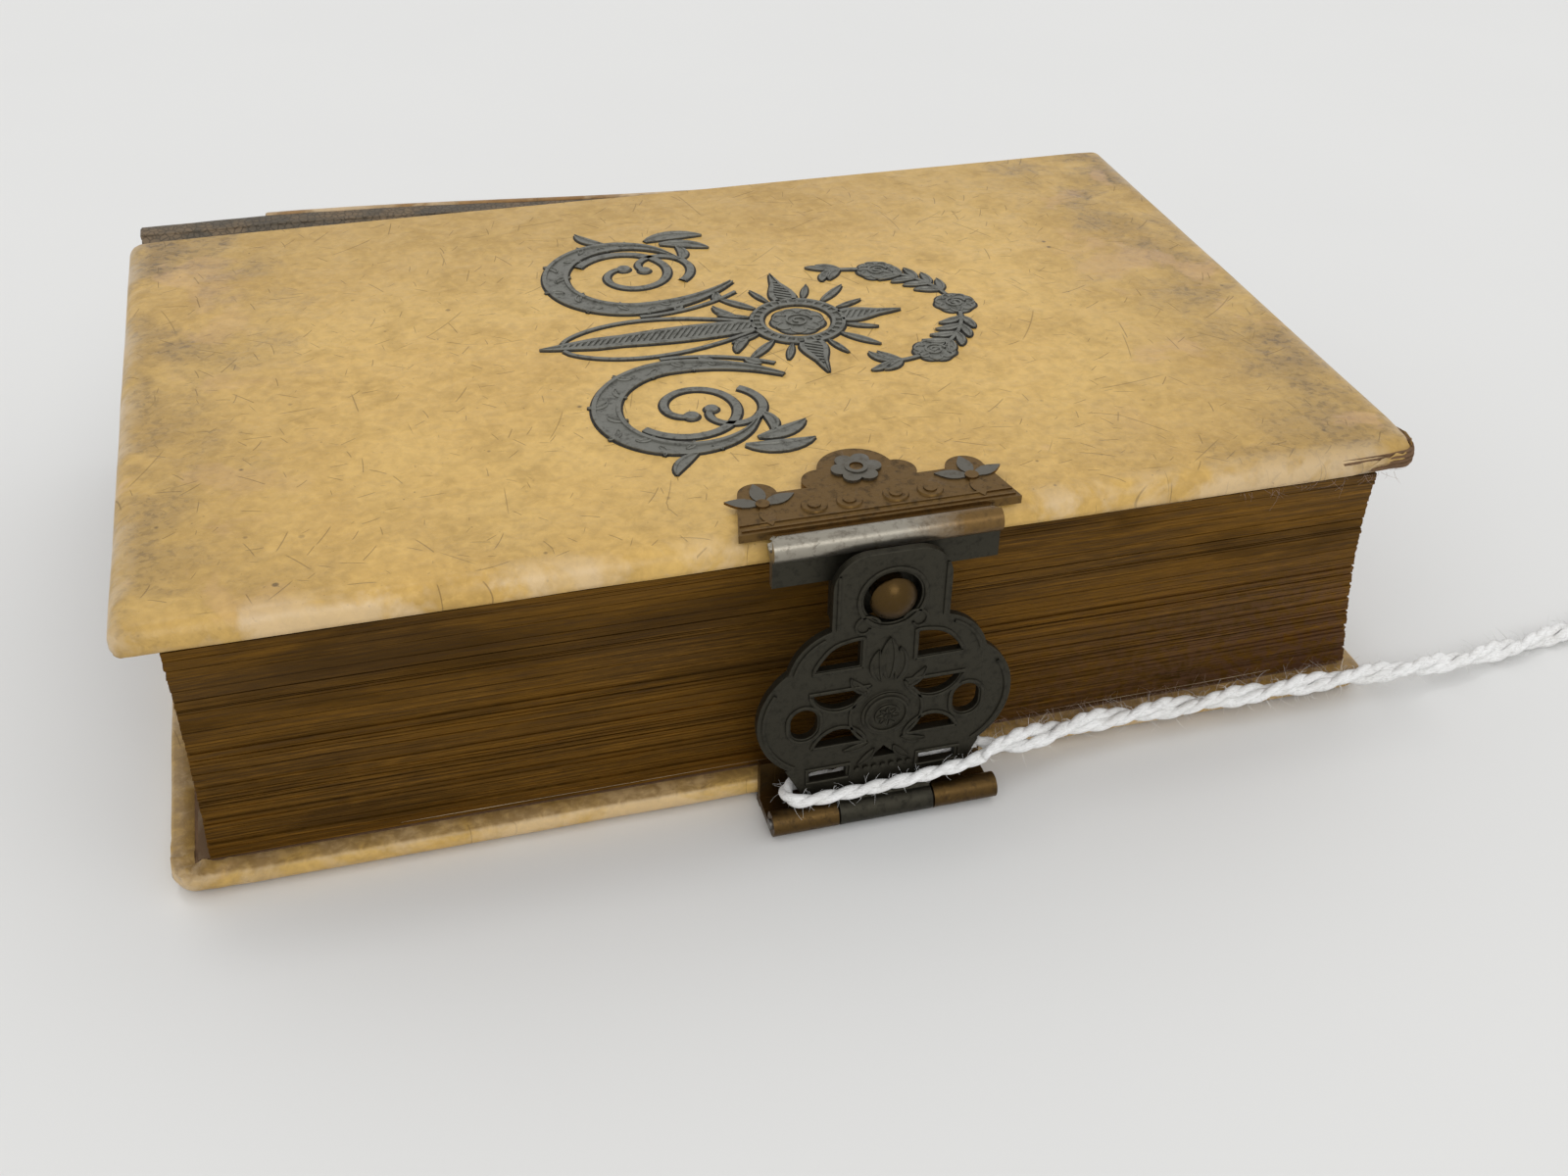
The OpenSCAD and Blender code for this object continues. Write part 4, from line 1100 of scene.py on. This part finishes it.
class Relief:
    """Flat metalwork on a face: the metal and its dark outline, drawn from plan coordinates. The outline is partly
    dark adhesive and partly painted shadow of the groove round the metal.
    """

    def __init__(self, origin, across, upward, out):
        self.origin, self.across, self.upward, self.out = origin, across, upward, out
        self.metal, self.dark = bmesh.new(), bmesh.new()

    def at(self, x, y, z=0.0):
        return self.origin + (self.across * x + self.upward * y + self.out * z) * MM

    def line(self, points, half, edge=0.2, shape=flat_line, **options):
        """A line or band along plan points, with a dark edge that is partly dark adhesive and partly painted groove
        shadow.
        """
        width = half if callable(half) else (lambda t: half)
        path = [self.at(x, y) for x, y in points]
        sweep(self.metal, path, shape(width, **options), up=self.out)
        if edge:
            # Dark edge: dark adhesive and painted groove shadow round the line
            sweep(self.dark, path, flat_line(lambda t: width(t) + edge, 0.05), up=self.out)

    def hatch(self, points, half, pitch=0.62, slant=32, height=0.25, thick=0.26):
        """Slanted bars between the rims of a band."""
        run, due = 0.0, pitch
        total = sum(math.dist(a, b) for a, b in zip(points, points[1:]))
        for a, b in zip(points, points[1:]):
            step = math.dist(a, b)
            while run + step >= due:
                k = (due - run) / step
                width = half(due / total) - 0.35
                if width > 0.12:
                    turn = math.atan2(b[1] - a[1], b[0] - a[0]) + math.radians(90 - slant)
                    made = bmesh.ops.create_cube(self.metal, size=1)["verts"]
                    bmesh.ops.scale(
                        self.metal, vec=(2 * width / math.cos(math.radians(slant)), thick, height), verts=made
                    )
                    for v in made:
                        x, y, z = v.co
                        px = a[0] + (b[0] - a[0]) * k + x * math.cos(turn) - y * math.sin(turn)
                        py = a[1] + (b[1] - a[1]) * k + x * math.sin(turn) + y * math.cos(turn)
                        v.co = self.at(px, py, z + height / 2)
                due += pitch
            run += step

    def leaf(self, x, y, turn, size, broad=0.36, curl=0.3, height=0.24):
        """A pointed leaf with an engraved midrib."""
        points = []
        for i in range(10):
            t = i / 9
            a = math.radians(turn + 57 * curl * (t - 0.3))
            points.append(polar(x, y, size * t, a))

        def half(t):
            return size * broad / 2 * math.sin(math.pi * min(1.0, t * 0.96 + 0.04)) ** 0.75

        self.line(points, half, 0.17, channel, rim=2.0, top=height, floor=height - 0.09)

    def disc(self, x, y, radius, height=0.24):
        """A flat round bead."""
        # The dark ring round the bead is dark adhesive and painted groove shadow
        for bm, r, h in ((self.metal, radius, height), (self.dark, radius + 0.2, 0.05)):
            made = bmesh.ops.create_cone(
                bm, cap_ends=True, segments=20, radius1=r, radius2=r * 0.92, depth=h
            )["verts"]
            for v in made:
                v.co = self.at(x + v.co.x, y + v.co.y, v.co.z + h / 2)

    def rose(self, x, y, radius, height=0.22):
        """A rose: a lobed plate, a ring of petals and a coiled heart."""
        # The dark plate round the rose's edge is dark adhesive and painted groove shadow
        for bm, grow, h in ((self.dark, 0.2, 0.05), (self.metal, 0.0, height * 0.6)):
            made = bmesh.ops.create_cone(
                bm, cap_ends=True, segments=42, radius1=radius + grow, radius2=radius + grow - 0.05, depth=h
            )["verts"]
            for v in made:
                a = math.atan2(v.co.y, v.co.x)
                k = 0.93 + 0.09 * abs(math.sin(3.5 * a)) if v.co.xy.length > 0.1 else 1
                v.co = self.at(x + v.co.x * k, y + v.co.y * k, v.co.z + h / 2)
        for i in range(7):
            a = 2 * math.pi * i / 7
            ring = arc(
                x + 0.66 * radius * math.cos(a), y + 0.66 * radius * math.sin(a), radius * 0.27,
                math.degrees(a) - 120, math.degrees(a) + 120, 12
            )
            self.line(ring, 0.1, 0, top=height)
        self.line(spiral(x, y, radius * 0.52, radius * 0.1, 0, 620, 48), 0.11, 0, top=height * 1.25)

    def done(self, name, material, body, slot, replaces=()):
        finish_piece(self.metal, name + "_relief", material, body, replaces, 40)
        # The dark pieces are dark adhesive and painted groove shadow round the metal
        finish_piece(self.dark, name + "_adhesive_and_painted_shadow", "outline", body, (), 40)


class BOOK_OT_ornament(bpy.types.Operator):
    """Cross, scrolls and garland in grey metal on the front cover"""

    bl_idname = "prayer_book.ornament"
    bl_label = "Ornament"

    def execute(self, context):
        low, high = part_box("cover_cross")
        self.centre = Vector((high.x - 11 * MM, (low.y + high.y) / 2, BOOK_TOP))
        self.cross()
        self.scrolls()
        self.garland()
        return {"FINISHED"}

    def relief(self):
        return Relief(self.centre, RIGHT, BACK, UP)

    def cross(self):
        r = self.relief()
        for turn, reach in ((180, 25.8), (0, 10.8), (90, 10.8), (270, 10.8)):
            a = math.radians(turn)
            start, end = 4.4, reach

            def half(t):
                long = (end - start) * (1 - t)
                return 1.5 * min(1.0, (long / 5.5) ** 0.8) * (0.72 + 0.28 * math.sin(math.pi * min(1.0, t * 1.6)))

            steps = int((end - start) / 0.3)
            path = [
                ((start + (end - start) * i / steps) * math.cos(a), (start + (end - start) * i / steps) * math.sin(a))
                for i in range(steps + 1)
            ]
            r.line(path, half, 0.19, channel)
            r.hatch(path, half)
        ring = arc(0, 0, RING_RADIUS, 0, 360, 64)
        r.line(ring, 0.68, 0.19, channel, rim=0.36)
        r.hatch(ring, lambda t: 0.66, 0.9, 0)
        r.rose(0, 0, 2.7)
        for quarter in range(4):
            for turn, size in ((22, 3.2), (45, 4.4), (68, 3.2)):
                a = math.radians(quarter * 90 + turn)
                r.leaf(*polar(0, 0, 4.9, a), quarter * 90 + turn, size, 0.2, 0)
        for side in (-1, 1):
            path = [
                (-23.5 + 19 * i / 40, side * (0.7 + 3.1 * math.sin(math.pi * (i / 40) ** 0.8) ** 0.8))
                for i in range(41)
            ]
            r.line(path, 0.2, 0.18)
            r.leaf(-5.6, side * 2.2, 180 - side * 40, 3.4, 0.3, -0.4 * side)
        r.done("cross", "ornament", "front_cover", "ornament_metal", ("cover_cross",))

    def scrolls(self):
        r = self.relief()
        for side in (-1, 1):
            turn = lambda points: [(x, side * y) for x, y in points]
            stalk = list(reversed(arc(-14.4, 21.44, 15.2, 272, 312, 30)))
            path = turn(stalk + spiral(-14.4, 14.24, 8, 6.4, 268, 20, 64))

            def half(t):
                return 0.22 + 1.12 * math.sin(math.pi * min(1.0, t * 1.05) ** 1.15) ** 0.8

            r.line(path, half, 0.2, channel, rim=0.42)
            for k in range(13):
                t = 0.2 + 0.052 * k
                x, y = path[int(t * (len(path) - 1))]
                nx, ny = path[int(t * (len(path) - 1)) + 1]
                heading = math.degrees(math.atan2(ny - y, nx - x))
                r.leaf(x, y, heading + 26 * side * (-1) ** k, 1.5 * half(t), 0.42, 0.8 * side * (-1) ** k, 0.22)
            curl = spiral(-14.2, 14.1, 5.6, 1.5, 150, -260, 70)
            r.line(turn(curl), lambda t: 0.42 - 0.12 * t, 0.2)
            r.disc(curl[-1][0], side * curl[-1][1], 0.72)
            back = spiral(-11.2, 15.2, 4.2, 1.3, 300, 560, 50)
            r.line(turn(back), lambda t: 0.4 - 0.12 * t, 0.2)
            r.disc(back[-1][0], side * back[-1][1], 0.66)
            for x, y, angle, size, curve in (
                (-11, 21.6, 22, 6.4, -0.5), (-9.6, 20.6, -6, 5.4, -0.4), (-15.4, 22.0, 150, 4.0, -0.5),
                (-8.2, 16.4, 60, 3.6, 0.7)
            ):
                r.leaf(x, side * y, side * angle, size, 0.3, side * curve)
            inner = list(reversed(arc(-14.4, 21.44, 16.9, 268, 306, 30)))
            r.line(turn(inner), 0.19, 0.17)
            for k in (8, 20):
                x, y = inner[k]
                r.leaf(x, side * y, side * 60, 1.9, 0.5, 0.3)
        r.done("scroll", "ornament", "front_cover", "ornament_metal", ("cover_scrolls",))

    def garland(self):
        r = self.relief()
        r.line(arc(GARLAND_X, 0, GARLAND_RADIUS, -92, 92, 90), 0.2, 0.17)
        for turn in (-62, 0, 62):
            a = math.radians(turn)
            r.rose(*polar(GARLAND_X, 0, GARLAND_RADIUS, a), 2.1)
        for turn in (-90, -84, -47, -37, -27, -17, 17, 27, 37, 47, 84, 90):
            a = math.radians(turn)
            root = polar(GARLAND_X, 0, GARLAND_RADIUS, a)
            way = 1 if turn > 0 else -1
            for lean, size in ((38, 2.7), (142, 2.8)):
                r.leaf(
                    *root, turn + way * (90 - lean) if lean < 90 else turn + way * lean - way * 8, size, 0.34,
                    0.3 * way
                )
        r.done("garland", "ornament", "front_cover", "ornament_metal", ("cover_garland",))


# ---------------------------------------------------------------- clasp


def grown(points, by):
    """A closed outline pushed outwards from its middle."""
    cx = sum(p[0] for p in points) / len(points)
    cy = sum(p[1] for p in points) / len(points)
    out = []
    for x, y in points + points[:1]:
        k = 1 + by / max(0.1, math.hypot(x - cx, y - cy))
        out.append((cx + (x - cx) * k, cy + (y - cy) * k))
    return out


class BOOK_OT_clasp(bpy.types.Operator):
    """Hinge plate, hasp, catch plate and stud"""

    bl_idname = "prayer_book.clasp"
    bl_label = "Clasp"

    def execute(self, context):
        dressed("hinge_plate", "hinge_plate_soft", "hinge", "back_cover", 0.10)
        dressed("hasp", "hasp_soft", "hasp", "hasp", 0.12)
        self.catch()
        dressed("catch_stud", "stud_soft", "stud", "front_cover", 0.10)
        paint("hinge_pin", "pin")
        paint("hinge_rivets", "hinge")
        paint("catch_rivets", "catch")
        self.hasp_relief()
        self.catch_relief()
        return {"FINISHED"}

    def catch(self):
        """The catch plate: rubbed bright on its moulding and its raised sprays."""
        mesh = dressed("catch_plate", "catch_plate_soft", "catch", "front_cover", 0.14).data
        for material in ("roll", "silver", "hasp"):
            mesh.materials.append(MATERIALS[material])
        for face in mesh.polygons:
            x, y, z = face.center
            raised = z > CATCH_TOP + 0.04 * MM and y > FORE_Y + 2 * MM
            if math.hypot(y - ROLL_Y, z - ROLL_Z) < ROLL_REACH and z > LIP_TOP:
                face.material_index = 1
            elif z < LIP_TOP:
                face.material_index = 3
            elif raised and (abs(x - CLASP_X) > SPRAY_X or y > FORE_Y + CREST_Y):
                face.material_index = 2

    def hasp_relief(self):
        """Ribs round the piercings, a rim, a rosette on the boss and beads along the foot."""
        r = Relief(Vector((CLASP_X, HASP_FACE, 0)), RIGHT, UP, -BACK)
        rib = dict(edge=0, top=0.16)
        for side in (-1, 1):
            holes = [
                [(2.6, 17), (2.6, 19.8)] + arc(2.6, 15.6, 4.2, 88, 20, 12),
                arc(4.3, 15.1, 2.5, 194, 346, 16),
                arc(7.4, 11.8, 1.2, 0, 180, 10) + arc(7.4, 11, 1.2, 180, 360, 10),
                arc(4.2, 7.9, 2.3, 18, 162, 16),
                [(3.4, 4.65), (6.8, 4.65), (6.8, 5.95), (3.4, 5.95)],
            ]
            for hole in holes:
                r.line([(side * x, z) for x, z in grown(hole, 0.34)], 0.17, **rib)
            for path in (
                arc(5, 11.8, 6.05, -58, 34, 30), arc(3.8, 16, 4.65, 12, 66, 20), [(4.7, 21.2), (4.7, 26.6)],
                arc(0, 11.3, 3.3, -55, 55, 20)
            ):
                r.line([(side * x, z) for x, z in path], 0.15, **rib)
            curl = spiral(2.3, 21.0, 0.4, 1.3, 200, 520, 30)
            r.line([(side * x, z) for x, z in curl], 0.12, **rib)
            for x, z, turn, size in (
                (0.7, 15.0, 70, 3.4), (1.6, 13.9, 30, 2.6), (1.5, 8.3, -30, 2.4), (0.9, 7.4, -62, 2.2)
            ):
                r.leaf(side * x, z, turn if side > 0 else 180 - turn, size, 0.36, 0.4 * side, 0.17)
        r.leaf(0, 15.2, 90, 4.4, 0.4, 0, 0.2)
        r.line(arc(0, 23.7, 2.95, 0, 360, 48), 0.2, **rib)
        boss = Relief(r.at(0, 11.3, 0.5), r.across, r.upward, r.out)
        for i in range(8):
            boss.leaf(0, 0, 45 * i, 1.0, 0.5, 0, 0.12)
        r.line(arc(0, 11.3, 1.85, 0, 360, 40), 0.14, 0, top=0.42)
        for i in range(7):
            r.disc(-2.4 + 0.8 * i, 5.3, 0.27, 0.22)
        merge(r.metal, boss.metal)
        boss.dark.free()
        r.dark.free()
        finish_piece(r.metal, "hasp_relief", "hasp", "hasp", (), 50)

    def catch_relief(self):
        """Four stepped bosses in a row, each over one ring of the catch plate."""
        r = Relief(Vector((CLASP_X, FORE_Y, CATCH_TOP)), RIGHT, BACK, UP)
        for x in BOSS_X:
            for radius, height in BOSS_STEPS:
                r.disc(x, BOSS_Y, radius, height)
        r.dark.free()
        finish_piece(r.metal, "catch_relief", "catch", "front_cover", (), 50)


# ---------------------------------------------------------------- string

LOOP_ROUTE = [
    (14, -39.45, 4.6), (12.4, -39.7, 4.4), (10.5, -39.7, 4.15), (8.5, -39.7, 3.9), (6, -39.7, 3.65),
    (4, -39.7, 3.55), (2, -39.7, 3.45), (0, -39.7, 3.4), (-1.6, -39.7, 3.35), (-3.05, -39.55, 3.35),
    (-3.75, -39, 3.35), (-3.9, -38.4, 3.35), (-3.7, -37.8, 3.35), (-3.05, -37.2, 3.35), (-1.6, -37.15, 3.4),
    (2, -37.15, 3.5), (6, -37.15, 3.7), (9.5, -37.15, 4), (12.3, -37.15, 4.4), (14, -37.2, 4.6),
]
RUN_ROUTE = [
    (14.6, -38.35, 4.75), (16.8, -38.4, 4.8), (19.5, -38.1, 4.65), (22.5, -37.3, 4.3), (26, -36.5, 3.8),
    (30, -36.2, 3.5), (34, -36.1, 3.35), (38, -36.1, 3.3), (43, -36.1, 3.3), (48, -36.1, 3.3), (53, -36.1, 3.25),
    (57, -36, 3), (61, -35.7, 2.6), (65, -35.3, 2.1), (70, -34.6, 1.6), (75, -33.8, 1.25), (80, -33, 1.1),
    (84, -32.5, 1.1), (88, -32.1, 1.1),
]


def route_in_frame(route):
    """The route's points, shifted as the solids are, in metres."""
    shift = -FORE_Y / MM - 35.2
    return [mm(x, y - shift, z) for x, y, z in route]


def smooth_path(points, step):
    """Even points on a smooth curve through the given ones."""
    fine = []
    last = len(points) - 1
    for i in range(last):
        a, b, c, d = points[max(i - 1, 0)], points[i], points[i + 1], points[min(i + 2, last)]
        for k in range(20):
            t = k / 20
            fine.append(
                0.5 * ((2 * b) + (c - a) * t + (2 * a - 5 * b + 4 * c - d) * t * t + (3 * b - a - 3 * c + d) * t**3)
            )
    fine.append(points[last])
    out, left = [fine[0]], step
    for a, b in zip(fine, fine[1:]):
        gap = (b - a).length
        while gap >= left:
            a = a + (b - a).normalized() * left
            gap = (b - a).length
            out.append(a)
            left = step
        left -= gap
    out.append(fine[-1])
    return out


def coiled_round(path, radius, pitch, phase):
    """A path that winds round another; radius may be a function of the length run so far."""
    out, run = [], 0.0
    last = len(path) - 1
    for i, p in enumerate(path):
        if i:
            run += (p - path[i - 1]).length
        along = (path[min(i + 1, last)] - path[max(i - 1, 0)]).normalized()
        side = along.cross(UP).normalized()
        top = side.cross(along)
        a = 2 * math.pi * run / pitch + phase
        r = radius(run) if callable(radius) else radius
        out.append(p + side * r * math.cos(a) + top * r * math.sin(a))
    return out


def longer(path, extra):
    """The path with both its ends drawn out straight."""
    first = path[0] + (path[0] - path[1]).normalized() * extra
    return [first] + path + [path[-1] + (path[-1] - path[-2]).normalized() * extra]


def twine(bm, path, diameter, pitch, phase=0.0):
    """A strand of two soft twisted plies."""
    for k in range(2):
        ply = coiled_round(path, diameter * 0.16, pitch, phase + math.pi * k)
        part = bmesh.new()
        sweep(part, ply, ring_profile(diameter * 0.33, 8), closed=True)
        for v in part.verts:
            v.co += 0.03 * MM * Vector((wobble(v.co, 0.0006, 1), wobble(v.co, 0.0006, 4), wobble(v.co, 0.0006, 7)))
        merge(bm, part)


def fuzz(bm, rng, path, radius, count, longest):
    """Loose fibres that stand off a strand."""
    last = len(path) - 1
    part = bmesh.new()
    for _ in range(count):
        i = rng.randrange(1, last)
        along = (path[min(i + 1, last)] - path[i - 1]).normalized()
        around = Vector([rng.uniform(-1, 1) for _ in range(3)])
        out = (around - along * around.dot(along)).normalized()
        reach = rng.uniform(0.3, 1.0) * longest
        lean = along * rng.uniform(-1.2, 1.2) + Vector([rng.uniform(-0.5, 0.5) for _ in range(3)])
        start = path[i] + out * radius * 0.8
        points = [start + out * reach * t + lean * reach * t * t for t in (0, 0.3, 0.65, 1)]
        points = [Vector((p.x, p.y, max(p.z, 0.06 * MM))) for p in points]
        sweep(part, points, ring_profile(0.018 * MM, 3), size=lambda t: 1 - 0.6 * t, closed=True)
    merge(bm, part)


class BOOK_OT_string(bpy.types.Operator):
    """Cotton twine round the hasp's foot and along the book"""

    bl_idname = "prayer_book.string"
    bl_label = "String"

    def execute(self, context):
        s = context.scene.prayer_book.string
        rng = random.Random(5)
        run = smooth_path(route_in_frame(RUN_ROUTE), PATH_STEP)
        loop = smooth_path(route_in_frame(LOOP_ROUTE), PATH_STEP)
        bm = bmesh.new()
        for k in (0, math.pi):
            apart = lambda gone: (s.doubled - s.strand) * 0.56 + 0.7 * MM * math.exp(-gone / (3.5 * MM))
            strand = coiled_round(longer(run, DRAWN_OUT), apart, COIL_PITCH, k)
            twine(bm, strand, s.strand, s.twist, k)
            fuzz(bm, rng, strand, s.strand / 2, s.fibres // 2, 1.3 * MM)
        piece = finish_piece(bm, "string_doubled", "cotton", None, ("string_run",), 180)
        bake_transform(piece)
        knot = self.knot(s)
        bm = bmesh.new()
        drawn = longer(loop, DRAWN_OUT)
        twine(bm, drawn, s.strand, s.twist)
        fuzz(bm, rng, drawn, s.strand / 2, s.fibres // 3, 0.9 * MM)
        around = finish_piece(bm, "string_round_foot", "cotton", "hasp", ("string_loop",), 180)
        return {"FINISHED"}

    def knot(self, s):
        """An overhand knot: a few tight turns round the string's end."""
        low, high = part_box("string_knot")
        centre = (low + high) / 2
        radius = (high.x - low.x) / 2
        bm = bmesh.new()
        path = []
        for i in range(61):
            a = 2 * math.pi * i / 60
            path.append(
                centre + Vector(
                    (math.sin(a) + 2 * math.sin(2 * a), math.cos(a) - 2 * math.cos(2 * a), -math.sin(3 * a))
                ) * radius * 0.21
            )
        twine(bm, path, s.strand * 0.95, s.twist)
        return finish_piece(bm, "string_end_knot", "cotton", "back_cover", ("string_knot",), 180)


# ---------------------------------------------------------------- stage


class BOOK_OT_stage(bpy.types.Operator):
    """Table, lamps and camera"""

    bl_idname = "prayer_book.stage"
    bl_label = "Stage"

    def execute(self, context):
        scene = context.scene
        camera = bpy.data.objects.new("Camera", bpy.data.cameras.new("Camera"))
        scene.collection.objects.link(camera)
        camera.location = mm(*CAMERA_PLACE)
        camera.rotation_euler = [math.radians(a) for a in CAMERA_TURN]
        camera.data.lens = CAMERA_LENS
        camera.data.clip_start = 0.01
        scene.camera = camera
        scene.view_settings.view_transform = "Standard"
        bm = bmesh.new()
        bmesh.ops.create_grid(bm, x_segments=4, y_segments=4, size=3)
        floor = finish_piece(bm, "table", "cotton")
        f = Finish("Pale table", Roughness=0.6)
        g = f.g
        cloud = g.noise(f.mm, 0.02, 2.0)
        f.set(Base_Color=g.mix(cloud, scene.prayer_book.table[:], dim(scene.prayer_book.table, 0.97)))
        floor.data.materials.clear()
        floor.data.materials.append(f.material)
        world = bpy.data.worlds.new("World")
        scene.world = world
        world.use_nodes = True
        for socket, value in zip(world.node_tree.nodes["Background"].inputs, ((1, 1, 1, 1), SKY_STRENGTH)):
            socket.default_value = value
        for lamp in LAMPS:
            self.lamp(*lamp)
        return {"FINISHED"}

    def lamp(self, name, place, size, power):
        light = bpy.data.lights.new(name, "AREA")
        light.shape = "DISK"
        light.size = size
        light.energy = power
        lamp = bpy.data.objects.new(name, light)
        bpy.context.scene.collection.objects.link(lamp)
        lamp.location = mm(*place)
        lamp.rotation_euler = (-lamp.location).to_track_quat("-Z", "Y").to_euler()


# ---------------------------------------------------------------- add-on


class BOOK_PT_panel(bpy.types.Panel):
    """Lists the book's pieces and settings"""

    bl_label = "Prayer Book"
    bl_idname = "BOOK_PT_panel"
    bl_space_type = "VIEW_3D"
    bl_region_type = "UI"
    bl_category = "Prayer Book"

    def draw(self, context):
        settings = context.scene.prayer_book
        for part in ("cover", "leaves", "metal", "string"):
            box = self.layout.box()
            box.label(text=part.title())
            group = getattr(settings, part)
            for name in group.__annotations__:
                box.prop(group, name)
        self.layout.prop(settings, "table")
        for operator in OPERATORS:
            self.layout.operator(operator.bl_idname)


OPERATORS = (
    BOOK_OT_stage, BOOK_OT_string, BOOK_OT_covers, BOOK_OT_leaves, BOOK_OT_spine, BOOK_OT_ornament, BOOK_OT_clasp
)
CLASSES = (CoverSettings, LeafSettings, MetalSettings, StringSettings, PrayerBookSettings, *OPERATORS, BOOK_PT_panel)


def register():
    for cls in CLASSES:
        bpy.utils.register_class(cls)
    bpy.types.Scene.prayer_book = PointerProperty(type=PrayerBookSettings)


def unregister():
    del bpy.types.Scene.prayer_book
    for cls in reversed(CLASSES):
        bpy.utils.unregister_class(cls)


def main():
    register()
    make_materials(bpy.context.scene.prayer_book)
    for name in ("stage", "string", "covers", "leaves", "spine", "ornament", "clasp"):
        getattr(bpy.ops.prayer_book, name)()


if __name__ == "__main__":
    main()
